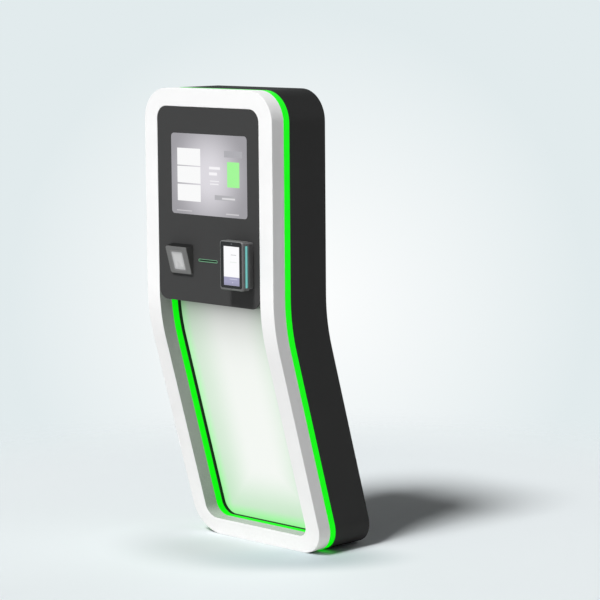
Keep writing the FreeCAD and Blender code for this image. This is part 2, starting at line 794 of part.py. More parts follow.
def rear_shell():
    shell = layer(outline(0), SHELL_FRONT, DEPTH)
    shell = shell.cut(layer(outline(SHELL_SHEET), SURROUND_FRONT, BACK_INNER))
    shell = shell.cut(layer(opening(0), SHELL_FRONT - MARGIN / 2, SURROUND_FRONT + OVERRUN))
    shell = shell.fuse(door_rebate())
    shell = shell.cut(door_opening(DOOR_GAP, at_depth(BACK_INNER) - OVERRUN, at_depth(DEPTH) + MARGIN))
    shell = shell.cut(cover_outline(COVER_LAP, BACK_INNER - OVERRUN, DEPTH + OVERRUN))
    shell = shell.cut(block(
        -BASE_HALF_WIDTH - BASE_GAP, BASE_HALF_WIDTH + BASE_GAP,
        -BASE_HALF_DEPTH - BASE_GAP, BASE_HALF_DEPTH + BASE_GAP, -MARGIN, SHELL_SHEET + BASE_GAP,
    ))
    for x, z in stud_places():
        shell = shell.cut(bent_pin(
            STUD_RADIUS + STUD_HOLE_GAP, x, z, SHELL_FRONT - OVERRUN, SURROUND_FRONT + OVERRUN,
        ))
    for x, z in surround_screw_places():
        shell = shell.cut(bent_pin(SCREW_HOLE, x, z, SHELL_FRONT - OVERRUN, SURROUND_FRONT + OVERRUN))
    for x, z in cover_screw_places():
        shell = shell.cut(bent_pin(SCREW_HOLE, x, z, BACK_INNER - OVERRUN, DEPTH + OVERRUN))
    return shell


def door_rebate():
    """Stop that runs round the door opening inside the shell."""
    outset = REBATE_OUTER - DOOR_HALF_WIDTH
    near = at_depth(REBATE_DEPTH)
    far = at_depth(BACK_INNER)
    ring = door_opening(outset, near, far)
    ring = ring.cut(door_opening(outset - REBATE_SHEET, near + REBATE_SHEET, far + OVERRUN))
    return ring.cut(door_opening(outset - REBATE_WIDTH, near - OVERRUN, far + OVERRUN))


def recess_surround():
    ring = layer(opening(SURROUND_WIDTH).cut(opening(0)), SURROUND_FRONT, RECESS_FRONT)
    for x, z in surround_screw_places():
        ring = ring.cut(bent_pin(SCREW_HOLE, x, z, SURROUND_FRONT - OVERRUN, RECESS_FRONT + OVERRUN))
    return ring


def recess_panel():
    return layer(opening(RECESS_LAP).common(below(RECESS_TOP)), RECESS_FRONT, TRAY_FRONT)


def backlight_tray():
    wall = TRAY_WALL_OUTSET
    tray = layer(opening(wall).common(below(TRAY_TOP)), TRAY_FRONT, TRAY_BACK)
    tray = tray.cut(layer(
        opening(wall - TRAY_SHEET).common(below(TRAY_TOP - TRAY_SHEET)),
        TRAY_FRONT - OVERRUN, TRAY_BACK - TRAY_SHEET,
    ))
    flange = opening(SURROUND_WIDTH).cut(opening(wall - TRAY_SHEET)).common(below(TRAY_TOP))
    tray = tray.fuse(layer(flange, TRAY_FRONT, TRAY_FRONT + TRAY_SHEET))
    for x, z in surround_screw_places():
        tray = tray.cut(bent_pin(SCREW_HOLE, x, z, TRAY_FRONT - OVERRUN, TRAY_FRONT + TRAY_SHEET + OVERRUN))
    return tray


def backlight_board():
    board = opening(TRAY_WALL_OUTSET - BOARD_INSET).common(below(TRAY_TOP - BOARD_INSET))
    back = TRAY_BACK - TRAY_SHEET
    return layer(board, back - BOARD_SHEET, back)


# Control panel

def panel_outline(inset, y0, y1):
    half = PANEL_HALF - inset
    return rounded_plate(
        -half, half, PANEL_BOTTOM + inset, PANEL_TOP - inset,
        PANEL_LOWER_RADIUS - inset, y0, y1, PANEL_TOP_RADIUS - inset,
    )


def screen_plate(outset, radius, depth0, depth1):
    half = SCREEN_WIDTH / 2 + outset
    return rounded_plate(
        SCREEN_CENTRE_X - half, SCREEN_CENTRE_X + half,
        SCREEN_BOTTOM - outset, SCREEN_BOTTOM + SCREEN_HEIGHT + outset,
        radius, at_depth(depth0), at_depth(depth1),
    )


def slot_plate(width, height, depth0, depth1):
    return rounded_plate(
        SLOT_CENTRE_X - width / 2, SLOT_CENTRE_X + width / 2,
        SLOT_CENTRE_Z - height / 2, SLOT_CENTRE_Z + height / 2,
        height / 2, at_depth(depth0), at_depth(depth1),
    )


def panel_screws(radius, near, far):
    """Rods along X through the panel's side returns."""
    rods = []
    for sign in (-1, 1):
        for z in panel_screw_heights():
            ends = sorted((sign * near, sign * far))
            rods.append(rod_x(radius, ends[0], ends[1], at_depth(PANEL_SCREW_DEPTH), z))
    return rods


def reader_cutout():
    return block(
        READER_CENTRE_X - READER_CUTOUT_WIDTH / 2, READER_CENTRE_X + READER_CUTOUT_WIDTH / 2,
        at_depth(PANEL_RECESS - OVERRUN), at_depth(PANEL_BACK + OVERRUN),
        READER_CENTRE_Z - READER_CUTOUT_HEIGHT / 2, READER_CENTRE_Z + READER_CUTOUT_HEIGHT / 2,
    )


def control_panel():
    plate = panel_outline(0, at_depth(PANEL_RECESS), at_depth(PANEL_BACK))
    front = [e for e in plate.Edges if e.BoundBox.YMax < at_depth(PANEL_RECESS) + TOUCH]
    plate = plate.makeFillet(PANEL_EDGE_ROUND, front)
    returns = panel_outline(0, at_depth(PANEL_BACK), at_depth(PANEL_BACK + PANEL_RETURN))
    returns = returns.cut(panel_outline(
        PANEL_RETURN_SHEET, at_depth(PANEL_BACK - OVERRUN), at_depth(PANEL_BACK + PANEL_RETURN + OVERRUN),
    ))
    returns = returns.cut(below(PANEL_BOTTOM + PANEL_LOWER_RADIUS + 2 * CEILING_RISE))
    panel = plate.fuse(returns)
    panel = panel.cut(screen_plate(
        SCREEN_GAP, SCREEN_RADIUS + SCREEN_GAP, PANEL_RECESS - OVERRUN, PANEL_BACK + OVERRUN,
    ))
    panel = panel.cut(slot_plate(
        SLOT_WIDTH + 2 * SLOT_GAP, SLOT_HEIGHT + 2 * SLOT_GAP, PANEL_RECESS - OVERRUN, PANEL_BACK + OVERRUN,
    ))
    panel = panel.cut(reader_cutout())
    for hole in panel_screws(SCREW_HOLE, PANEL_HALF - 2 * PANEL_RETURN_SHEET, PANEL_HALF + OVERRUN):
        panel = panel.cut(hole)
    return panel


def recess_ceiling():
    """Sheet that closes the top of the recess and follows the panel's lower corners."""
    y0 = at_depth(PANEL_BACK)
    y1 = at_depth(DEPTH / 2)
    sheet = panel_outline(0, y0, y1).cut(panel_outline(CEILING_SHEET, y0 - OVERRUN, y1 + OVERRUN))
    sheet = sheet.common(below(PANEL_BOTTOM + PANEL_LOWER_RADIUS + CEILING_RISE))
    return sheet.common(band(-MARGIN / 2, RECESS_FRONT - CEILING_END_GAP))


def touch_screen():
    return screen_plate(0, SCREEN_RADIUS, PANEL_RECESS, PANEL_RECESS + GLASS_SHEET)


def display_module():
    body = screen_plate(MODULE_LAP, MODULE_RADIUS, PANEL_BACK, PANEL_BACK + MODULE_DEPTH)
    back = screen_plate(
        -MODULE_BACK_INSET, MODULE_RADIUS, PANEL_BACK + MODULE_DEPTH,
        PANEL_BACK + MODULE_DEPTH + MODULE_BACK_DEPTH,
    )
    return body.fuse(back)


def slot_light_guide():
    flange_width = SLOT_WIDTH + 2 * (SLOT_GAP + SLOT_FLANGE_LAP)
    flange_height = SLOT_HEIGHT + 2 * (SLOT_GAP + SLOT_FLANGE_LAP)
    guide = slot_plate(SLOT_WIDTH, SLOT_HEIGHT, PANEL_RECESS - SLOT_PROUD, PANEL_BACK)
    guide = guide.fuse(slot_plate(
        flange_width, flange_height, PANEL_BACK, PANEL_BACK + SLOT_FLANGE_SHEET,
    ))
    return guide.cut(slot_plate(
        SLOT_WIDTH - 2 * SLOT_RIM, SLOT_HEIGHT - 2 * SLOT_RIM,
        PANEL_RECESS - SLOT_PROUD - OVERRUN, PANEL_BACK + SLOT_FLANGE_SHEET + OVERRUN,
    ))


def throat_space(depth0, depth1):
    return block(
        SLOT_CENTRE_X - THROAT_WIDTH / 2, SLOT_CENTRE_X + THROAT_WIDTH / 2,
        at_depth(depth0), at_depth(depth1),
        SLOT_CENTRE_Z - THROAT_HEIGHT / 2, SLOT_CENTRE_Z + THROAT_HEIGHT / 2,
    )


def flap_pivot_z():
    return SLOT_CENTRE_Z + THROAT_HEIGHT / 2 - FLAP_GAP - FLAP_PIN_RADIUS


def ticket_throat():
    inner_width = SLOT_WIDTH - 2 * SLOT_RIM - 2 * THROAT_GAP
    inner_height = SLOT_HEIGHT - 2 * SLOT_RIM - 2 * THROAT_GAP
    flange_front = PANEL_BACK + SLOT_FLANGE_SHEET
    throat = slot_plate(inner_width, inner_height, PANEL_RECESS + SLOT_PROUD, THROAT_BACK)
    throat = throat.fuse(slot_plate(
        inner_width + 2 * SLOT_FLANGE_LAP, inner_height + 2 * SLOT_FLANGE_LAP,
        flange_front, flange_front + SLOT_FLANGE_SHEET,
    ))
    throat = throat.cut(throat_space(PANEL_RECESS - OVERRUN, THROAT_BACK + OVERRUN))
    reach = THROAT_WIDTH / 2 + FLAP_PIN_LENGTH
    return throat.cut(rod_x(
        FLAP_PIN_RADIUS + FLAP_PIN_GAP, SLOT_CENTRE_X - reach, SLOT_CENTRE_X + reach,
        at_depth(FLAP_DEPTH), flap_pivot_z(),
    ))


def ticket_flap():
    half = THROAT_WIDTH / 2 - FLAP_GAP
    pivot = flap_pivot_z()
    leaf = block(
        SLOT_CENTRE_X - half, SLOT_CENTRE_X + half,
        at_depth(FLAP_DEPTH - FLAP_PIN_RADIUS), at_depth(FLAP_DEPTH + FLAP_PIN_RADIUS),
        SLOT_CENTRE_Z - THROAT_HEIGHT / 2 + FLAP_GAP, pivot,
    )
    pins = rod_x(
        FLAP_PIN_RADIUS, SLOT_CENTRE_X - THROAT_WIDTH / 2 - FLAP_PIN_LENGTH + FLAP_GAP,
        SLOT_CENTRE_X + THROAT_WIDTH / 2 + FLAP_PIN_LENGTH - FLAP_GAP, at_depth(FLAP_DEPTH), pivot,
    )
    return leaf.fuse(pins)


# Code reader, modelled upright about its face centre and then tilted

def tilt_reader(shape):
    shape.rotate(V(0, 0, 0), V(1, 0, 0), math.degrees(READER_TILT))
    shape.translate(V(READER_CENTRE_X, at_depth(READER_CENTRE_DEPTH), READER_CENTRE_Z))
    return shape


def face_plate(width, height, radius, sink0, sink1, shift_x=0.0, shift_z=0.0):
    """Plate parallel to the reader's face, from sink0 to sink1 behind it."""
    return tilt_reader(rounded_plate(
        shift_x - width / 2, shift_x + width / 2, shift_z - height / 2, shift_z + height / 2,
        radius, sink0, sink1,
    ))


def window_plate(outset, sink0, sink1):
    return face_plate(
        WINDOW_WIDTH + 2 * outset, WINDOW_HEIGHT + 2 * outset, WINDOW_RADIUS + outset,
        sink0, sink1, WINDOW_SHIFT_X, WINDOW_SHIFT_Z,
    )


def scanner_housing():
    profile = [
        (PANEL_RECESS, READER_TOP + READER_TOP_SLOPE),
        (-READER_TOP_REACH, READER_TOP),
        (-READER_BOTTOM_REACH, READER_BOTTOM),
        (PANEL_RECESS, READER_BOTTOM - READER_FOOT_SLOPE),
    ]
    left = READER_CENTRE_X - READER_WIDTH / 2
    points = [V(left, at_depth(depth), z) for depth, z in profile]
    wedge = Part.Face(Part.makePolygon(points + points[:1])).extrude(V(READER_WIDTH, 0, 0))
    reach = 2 * READER_TOP_REACH
    wide = READER_WIDTH
    tall = READER_FACE + 4 * READER_TOP_SLOPE
    wedge = wedge.common(face_plate(wide, tall, READER_RADIUS, BEZEL_SHEET, reach))
    cavity = face_plate(
        READER_WIDTH - 2 * READER_WALL, READER_FACE - 3 * READER_WALL, READER_RADIUS,
        BEZEL_SHEET + READER_WALL, reach,
    )
    wedge = wedge.cut(cavity)
    return wedge.cut(window_plate(
        -WINDOW_LEDGE, BEZEL_SHEET - OVERRUN, BEZEL_SHEET + READER_WALL + OVERRUN,
    ))


def scanner_bezel():
    bezel = face_plate(READER_WIDTH, READER_FACE, READER_RADIUS, 0, BEZEL_SHEET)
    return bezel.cut(window_plate(WINDOW_GAP, -OVERRUN, BEZEL_SHEET + OVERRUN))


def scanner_window():
    return window_plate(0, WINDOW_SINK, BEZEL_SHEET)


def scan_engine():
    camera = tilt_reader(block(
        -ENGINE_WIDTH / 2, ENGINE_WIDTH / 2, ENGINE_STANDBACK, ENGINE_STANDBACK + ENGINE_DEPTH,
        -ENGINE_HEIGHT / 2, ENGINE_HEIGHT / 2,
    ))
    lens = tilt_reader(rod_y(
        ENGINE_LENS_RADIUS, ENGINE_STANDBACK - ENGINE_LENS_LENGTH, ENGINE_STANDBACK, 0, 0,
    ))
    post_front = READER_CENTRE_DEPTH + ENGINE_STANDBACK + ENGINE_DEPTH / 2
    post = block(
        READER_CENTRE_X - ENGINE_POST / 2, READER_CENTRE_X + ENGINE_POST / 2,
        at_depth(post_front), at_depth(PANEL_BACK),
        READER_CENTRE_Z - ENGINE_POST / 2, READER_CENTRE_Z + ENGINE_POST / 2,
    )
    plate = block(
        READER_CENTRE_X - ENGINE_PLATE_WIDTH / 2, READER_CENTRE_X + ENGINE_PLATE_WIDTH / 2,
        at_depth(PANEL_BACK), at_depth(PANEL_BACK + ENGINE_PLATE_SHEET),
        READER_CENTRE_Z - ENGINE_PLATE_HEIGHT / 2, READER_CENTRE_Z + ENGINE_PLATE_HEIGHT / 2,
    )
    return camera.fuse([lens, post, plate])


# Payment device

def pay_plate(side, bottom, top, radius, depth0, depth1):
    return rounded_plate(
        PAY_LEFT + side, PAY_LEFT + PAY_WIDTH - side,
        PAY_BOTTOM + bottom, PAY_BOTTOM + PAY_HEIGHT - top, radius,
        at_depth(depth0), at_depth(depth1),
    )


def pay_screen(outset, depth0, depth1):
    left = PAY_LEFT + PAY_SCREEN_LEFT - outset
    bottom = PAY_BOTTOM + PAY_SCREEN_BOTTOM - outset
    return block(
        left, left + PAY_SCREEN_WIDTH + 2 * outset, at_depth(depth0), at_depth(depth1),
        bottom, bottom + PAY_SCREEN_HEIGHT + 2 * outset,
    )


def pay_bar(side, gap):
    """Light bar in the side wall, or with a gap the groove that holds it."""
    right = PAY_LEFT + PAY_WIDTH
    x0, x1 = (right - PAY_BAR_THICKNESS, right) if side > 0 else (PAY_LEFT, PAY_LEFT + PAY_BAR_THICKNESS)
    depth = -PAY_REACH + PAY_BAR_FRONT
    bottom = PAY_BOTTOM + PAY_BAR_BOTTOM
    outer = OVERRUN if gap else 0
    return block(
        x0 - (outer if side < 0 else 0), x1 + (outer if side > 0 else 0),
        at_depth(depth - gap), at_depth(depth + PAY_BAR_WIDTH + gap),
        bottom - gap, bottom + PAY_BAR_LENGTH + gap,
    )


def pay_lens(radius, depth0, depth1):
    x = PAY_LEFT + PAY_SCREEN_LEFT + PAY_SCREEN_WIDTH / 2
    return rod_y(radius, at_depth(depth0), at_depth(depth1), x, PAY_BOTTOM + PAY_HEIGHT - PAY_LENS_DROP)


def payment_housing():
    step = -PAY_REACH + PAY_STEP_DEPTH
    front = pay_plate(0, 0, 0, PAY_RADIUS, -PAY_REACH, step)
    rim = [e for e in front.Edges if e.BoundBox.YMax < at_depth(-PAY_REACH) + TOUCH]
    front = front.makeChamfer(PAY_BEVEL, rim)
    back = pay_plate(PAY_STEP, PAY_STEP, PAY_STEP, PAY_RADIUS - PAY_STEP / 2, step, PANEL_RECESS)
    housing = front.fuse(back)
    wall = PAY_STEP + PAY_WALL
    housing = housing.cut(pay_plate(
        wall, wall, wall, PAY_RADIUS / 2, -PAY_REACH + PAY_WALL, PANEL_RECESS + OVERRUN,
    ))
    gap = PAY_GLASS_GAP
    housing = housing.cut(pay_plate(
        PAY_GLASS_SIDE - gap, PAY_GLASS_BOTTOM - gap, PAY_GLASS_TOP - gap, PAY_GLASS_RADIUS + gap,
        -PAY_REACH - OVERRUN, PAY_GLASS_BACK,
    ))
    housing = housing.cut(pay_screen(PAY_SCREEN_GAP, -PAY_REACH, -PAY_REACH + 2 * PAY_WALL))
    for side in (-1, 1):
        housing = housing.cut(pay_bar(side, PAY_BAR_GAP))
    return housing


def payment_glass():
    glass = pay_plate(
        PAY_GLASS_SIDE, PAY_GLASS_BOTTOM, PAY_GLASS_TOP, PAY_GLASS_RADIUS,
        -PAY_REACH - PAY_GLASS_PROUD, PAY_GLASS_BACK,
    )
    return glass.cut(pay_lens(
        PAY_LENS_RADIUS + PAY_LENS_GAP, -PAY_REACH - PAY_GLASS_PROUD - OVERRUN, PAY_GLASS_BACK + OVERRUN,
    ))


def payment_display():
    return pay_screen(0, PAY_GLASS_BACK, PAY_GLASS_BACK + PAY_SCREEN_SHEET)


def payment_camera():
    return pay_lens(PAY_LENS_RADIUS, -PAY_REACH - PAY_GLASS_PROUD + PAY_LENS_SINK, PAY_GLASS_BACK)


def payment_light_bars():
    return group([pay_bar(-1, 0), pay_bar(1, 0)])


# Rear door

def rear_door():
    back = at_depth(DEPTH)
    near = at_depth(DOOR_RETURN_DEPTH)
    door = door_opening(0, near, back)
    door = door.cut(door_opening(-DOOR_SHEET, near - OVERRUN, back - DOOR_SHEET))
    hole = LOCK_RADIUS + LOCK_HOLE_GAP
    door = door.cut(rod_y(hole, back - DOOR_SHEET - OVERRUN, back + OVERRUN, LOCK_X, LOCK_Z))
    first = FAN_Z - DOOR_SLOT_PITCH * (DOOR_SLOTS - 1) / 2
    for index in range(DOOR_SLOTS):
        z = first + DOOR_SLOT_PITCH * index
        door = door.cut(rounded_plate(
            FAN_X - DOOR_SLOT_WIDTH / 2, FAN_X + DOOR_SLOT_WIDTH / 2,
            z - DOOR_SLOT_HEIGHT / 2, z + DOOR_SLOT_HEIGHT / 2, DOOR_SLOT_HEIGHT / 2,
            back - DOOR_SHEET - OVERRUN, back + OVERRUN,
        ))
    return door


def door_gasket():
    outset = REBATE_OUTER - DOOR_HALF_WIDTH - REBATE_SHEET - GASKET_GAP
    near = at_depth(REBATE_DEPTH + REBATE_SHEET)
    far = near + GASKET_SHEET
    ring = door_opening(outset, near, far)
    return ring.cut(door_opening(outset - GASKET_WIDTH, near - OVERRUN, far + OVERRUN))


def hinge_knuckles():
    """Height ranges of the three knuckles of each hinge: fixed, door, fixed."""
    pitch = HINGE_KNUCKLE + HINGE_KNUCKLE_GAP
    bottoms = (DOOR_BOTTOM + HINGE_LOW_END, DOOR_TOP - HINGE_HIGH_END)
    return [[(z + pitch * n, z + pitch * n + HINGE_KNUCKLE) for n in range(3)] for z in bottoms]


def hinge_half(side, knuckle_indexes, bore):
    """One half of both hinges; side -1 is on the shell, 1 is on the door."""
    y = at_depth(HINGE_DEPTH)
    surface = at_depth(DEPTH)
    solids = []
    for knuckles in hinge_knuckles():
        clear = HINGE_BARREL_RADIUS + HINGE_KNUCKLE_GAP
        ends = sorted((HINGE_X + side * clear, HINGE_X + side * HINGE_LEAF))
        leaf = block(ends[0], ends[1], surface, surface + HINGE_SHEET, knuckles[0][0], knuckles[2][1])
        for index in knuckle_indexes:
            low, high = knuckles[index]
            tongue_ends = sorted((HINGE_X, HINGE_X + side * (clear + OVERRUN)))
            if side > 0:
                tongue_ends[0] = HINGE_X + DOOR_GAP / 2
            tongue = block(
                tongue_ends[0], tongue_ends[1], surface, surface + HINGE_SHEET, low, high,
            )
            barrel = rod_z(HINGE_BARREL_RADIUS, low, high, HINGE_X, y)
            leaf = leaf.fuse([tongue, barrel])
        leaf = leaf.cut(rod_z(bore, knuckles[0][0] - OVERRUN, knuckles[2][1] + OVERRUN, HINGE_X, y))
        solids.append(leaf.removeSplitter())
    return group(solids)


def hinge_leaves():
    return hinge_half(-1, (0, 2), HINGE_PIN_RADIUS)


def door_hinge_leaves():
    return hinge_half(1, (1,), HINGE_PIN_RADIUS + HINGE_PIN_GAP)


def hinge_pins():
    y = at_depth(HINGE_DEPTH)
    return group([
        rod_z(HINGE_PIN_RADIUS, knuckles[0][0], knuckles[2][1], HINGE_X, y)
        for knuckles in hinge_knuckles()
    ])


def lock_barrel():
    back = at_depth(DEPTH)
    end = back - LOCK_BODY_LENGTH
    barrel = rod_y(LOCK_RADIUS, end, back, LOCK_X, LOCK_Z)
    head = rod_y(LOCK_HEAD_RADIUS, back, back + LOCK_HEAD_HEIGHT, LOCK_X, LOCK_Z)
    nut_back = back - DOOR_SHEET
    nut = rod_y(LOCK_NUT_RADIUS, nut_back - LOCK_NUT_HEIGHT, nut_back, LOCK_X, LOCK_Z)
    barrel = barrel.fuse([head, nut])
    return barrel.cut(rod_y(PLUG_RADIUS + PLUG_GAP, end - OVERRUN, back + MARGIN, LOCK_X, LOCK_Z))


def lock_cam():
    back = at_depth(DEPTH)
    end = back - LOCK_BODY_LENGTH - CAM_GAP
    plug = rod_y(PLUG_RADIUS, end - CAM_SHEET, back + LOCK_HEAD_HEIGHT, LOCK_X, LOCK_Z)
    cam = rounded_plate(
        LOCK_X - CAM_WIDTH / 2, LOCK_X + CAM_WIDTH / 2,
        LOCK_Z - CAM_TAIL, LOCK_Z + CAM_LENGTH, CAM_ROUND, end - CAM_SHEET, end,
    )
    keyway = block(
        LOCK_X - KEYWAY_WIDTH / 2, LOCK_X + KEYWAY_WIDTH / 2,
        back + LOCK_HEAD_HEIGHT - KEYWAY_DEPTH, back + LOCK_HEAD_HEIGHT + OVERRUN,
        LOCK_Z - KEYWAY_LENGTH / 2, LOCK_Z + KEYWAY_LENGTH / 2,
    )
    return plug.fuse(cam).cut(keyway)


# Fan

def fan_frame():
    back = at_depth(DEPTH - DOOR_SHEET)
    front = back - FAN_DEPTH
    half = FAN_SIZE / 2
    frame = rounded_plate(
        FAN_X - half, FAN_X + half, FAN_Z - half, FAN_Z + half, FAN_ROUND, front, back,
    )
    frame = frame.cut(rod_y(FAN_BORE_RADIUS, front - OVERRUN, back + OVERRUN, FAN_X, FAN_Z))
    for sx in (-1, 1):
        for sz in (-1, 1):
            frame = frame.cut(rod_y(
                FAN_SCREW_RADIUS, front - OVERRUN, back + OVERRUN,
                FAN_X + sx * (half - FAN_SCREW_INSET), FAN_Z + sz * (half - FAN_SCREW_INSET),
            ))
    hub = rod_y(FAN_HUB_RADIUS, front, front + FAN_HUB_SHEET, FAN_X, FAN_Z)
    for index in range(4):
        strut = block(0, FAN_BORE_RADIUS + OVERRUN, 0, FAN_HUB_SHEET, -FAN_STRUT / 2, FAN_STRUT / 2)
        strut.rotate(V(0, 0, 0), V(0, 1, 0), 45 + 90 * index)
        strut.translate(V(FAN_X, front, FAN_Z))
        hub = hub.fuse(strut)
    frame = frame.fuse(hub)
    bore = FAN_SHAFT_RADIUS + FAN_SHAFT_GAP
    return frame.cut(rod_y(bore, front - OVERRUN, front + FAN_HUB_SHEET + OVERRUN, FAN_X, FAN_Z))


def fan_rotor():
    front = at_depth(DEPTH - DOOR_SHEET) - FAN_DEPTH
    near = front + FAN_HUB_SHEET + FAN_HUB_GAP
    far = front + FAN_DEPTH - FAN_HUB_GAP
    rotor = rod_y(FAN_HUB_RADIUS, near, far, FAN_X, FAN_Z)
    tip = FAN_BORE_RADIUS - FAN_TIP_GAP
    for index in range(FAN_BLADES):
        blade = block(
            FAN_HUB_RADIUS / 2, tip, -FAN_BLADE_WIDTH / 2, FAN_BLADE_WIDTH / 2,
            -FAN_BLADE_SHEET / 2, FAN_BLADE_SHEET / 2,
        )
        blade.rotate(V(0, 0, 0), V(1, 0, 0), FAN_BLADE_PITCH)
        blade.rotate(V(0, 0, 0), V(0, 1, 0), 360 * index / FAN_BLADES)
        blade.translate(V(FAN_X, (near + far) / 2, FAN_Z))
        rotor = rotor.fuse(blade)
    rotor = rotor.common(rod_y(tip, near, far, FAN_X, FAN_Z))
    return rotor.fuse(rod_y(FAN_SHAFT_RADIUS, front, near, FAN_X, FAN_Z))


# Lower rear cover and all small screws

def rear_cover():
    cover = cover_outline(0, DEPTH, DEPTH + COVER_SHEET)
    for x, z in cover_screw_places():
        cover = cover.cut(bent_pin(SCREW_HOLE, x, z, DEPTH - OVERRUN, DEPTH + COVER_SHEET + OVERRUN))
    for index in range(COVER_SLOTS):
        z = COVER_TOP - COVER_SLOT_DROP + COVER_SLOT_PITCH * index
        cover = cover.cut(rounded_plate(
            -COVER_SLOT_WIDTH / 2, COVER_SLOT_WIDTH / 2,
            z - COVER_SLOT_HEIGHT / 2, z + COVER_SLOT_HEIGHT / 2, COVER_SLOT_HEIGHT / 2,
            FRONT_Y, FRONT_Y + FOOT_SETBACK + DEPTH + MARGIN,
        ))
    return cover


def bent_screw(x, z, head_front, head_back, grip_end):
    """Screw along Y; its head lies between two depths and its shank ends at a third."""
    head = bent_pin(SCREW_HEAD_RADIUS, x, z, min(head_front, head_back), max(head_front, head_back))
    shank = bent_pin(SCREW_RADIUS, x, z, min(grip_end, head_front), max(grip_end, head_front))
    return head.fuse(shank)


def case_screws():
    solids = []
    for x, z in surround_screw_places():
        seat = TRAY_FRONT + TRAY_SHEET
        solids.append(bent_screw(x, z, seat, seat + SCREW_HEAD_HEIGHT, SHELL_FRONT))
    for x, z in cover_screw_places():
        seat = DEPTH + COVER_SHEET
        solids.append(bent_screw(x, z, seat, seat + SCREW_HEAD_HEIGHT, BACK_INNER - SCREW_GRIP))
    seat = PANEL_HALF - PANEL_RETURN_SHEET
    heads = panel_screws(SCREW_HEAD_RADIUS, seat - SCREW_HEAD_HEIGHT, seat)
    shanks = panel_screws(SCREW_RADIUS, seat, OPENING_HALF + SCREW_GRIP)
    solids += [head.fuse(shank) for head, shank in zip(heads, shanks)]
    return group(solids)


# Base, posts and brackets

def base_plate():
    plate = block(
        -BASE_HALF_WIDTH, BASE_HALF_WIDTH, -BASE_HALF_DEPTH, BASE_HALF_DEPTH, 0, BASE_SHEET,
    )
    for sx in (-1, 1):
        for sy in (-1, 1):
            plate = plate.cut(rod_z(
                ANCHOR_RADIUS, -OVERRUN, BASE_SHEET + OVERRUN,
                sx * ANCHOR_SPACING_X / 2, sy * ANCHOR_SPACING_Y / 2,
            ))
    return plate.cut(rod_z(CABLE_HOLE_RADIUS, -OVERRUN, BASE_SHEET + OVERRUN, 0, 0))


def cable_grommet():
    top = BASE_SHEET + GROMMET_LIP_HEIGHT
    sleeve = rod_z(CABLE_HOLE_RADIUS, GROMMET_LIFT, BASE_SHEET, 0, 0)
    lip = rod_z(CABLE_HOLE_RADIUS + GROMMET_LIP, BASE_SHEET, top, 0, 0)
    return sleeve.fuse(lip).cut(rod_z(GROMMET_RADIUS, -OVERRUN, top + OVERRUN, 0, 0))


def ballast_plates():
    solids = []
    for index in range(BALLAST_LAYERS):
        z0 = BASE_SHEET + BALLAST_SHEET * index
        z1 = z0 + BALLAST_SHEET
        y0 = front_y(z0) + TRAY_BACK + BALLAST_GAP
        y1 = front_y(z1) + BACK_INNER - BALLAST_GAP
        for side in (-1, 1):
            x0, x1 = sorted((side * BALLAST_INNER_X, side * (BALLAST_INNER_X + BALLAST_WIDTH)))
            solids.append(block(x0, x1, y0, y1, z0, z1))
    return group(solids)


def spine_posts():
    solids = []
    back = POST_FRONT_DEPTH + POST_DEPTH
    for side in (-1, 1):
        x0, x1 = sorted((side * POST_INNER_X, side * (POST_INNER_X + POST_WIDTH)))
        post = band(POST_FRONT_DEPTH, back, x0, x1)
        post = post.cut(band(
            POST_FRONT_DEPTH + POST_WALL, back - POST_WALL, x0 + POST_WALL, x1 - POST_WALL,
        ))
        post = post.cut(below(BASE_SHEET)).common(below(SHELF_BOTTOM))
        solids.append(post)
    return group(solids)


def side_brackets():
    """Straps between each post and the shell's side wall."""
    near = POST_FRONT_DEPTH + (POST_DEPTH - BRACKET_WIDTH) / 2
    post_face = POST_INNER_X + POST_WIDTH
    heights = rows(BRACKET_LOW_END, SHELF_BOTTOM - BRACKET_HIGH_END, BRACKET_ROWS)
    solids = []
    for side in (-1, 1):
        for z in heights:
            parts = []
            for x0, x1, low, high in (
                (post_face, SHELL_INNER_X, z, z + BRACKET_SHEET),
                (post_face, post_face + BRACKET_SHEET, z, z + BRACKET_TAB),
                (SHELL_INNER_X - BRACKET_SHEET, SHELL_INNER_X, z, z + BRACKET_TAB),
            ):
                ends = sorted((side * x0, side * x1))
                strip = band(near, near + BRACKET_WIDTH, ends[0], ends[1])
                parts.append(strip.common(block(
                    ends[0], ends[1], FRONT_Y, FRONT_Y + FOOT_SETBACK + DEPTH, low, high,
                )))
            solids.append(parts[0].fuse(parts[1:]).removeSplitter())
    return group(solids)


# Shelf and ticket printer

def printer_shelf():
    front = at_depth(SHELF_FRONT_DEPTH)
    back = at_depth(SHELF_BACK_DEPTH)
    top = SHELF_BOTTOM + SHELF_SHEET
    shelf = block(-SHELF_HALF_WIDTH, SHELF_HALF_WIDTH, front, back, SHELF_BOTTOM, top)
    lip = block(
        -SHELF_HALF_WIDTH, SHELF_HALF_WIDTH, back - SHELF_SHEET, back, SHELF_BOTTOM - SHELF_LIP, top,
    )
    return shelf.fuse(lip).removeSplitter()


def chassis_side(x0):
    """One side plate with its lower front part, seen from the side."""
    front_top = SLOT_CENTRE_Z + CHASSIS_FRONT_RISE
    points = [
        (CHASSIS_FRONT_DEPTH, CHASSIS_BOTTOM),
        (CHASSIS_BACK_DEPTH, CHASSIS_BOTTOM),
        (CHASSIS_BACK_DEPTH, CHASSIS_TOP),
        (CHASSIS_STEP_DEPTH, CHASSIS_TOP),
        (CHASSIS_STEP_DEPTH, front_top),
        (CHASSIS_FRONT_DEPTH, front_top),
    ]
    corners = [V(x0, at_depth(depth), z) for depth, z in points]
    return Part.Face(Part.makePolygon(corners + corners[:1])).extrude(V(CHASSIS_SHEET, 0, 0))


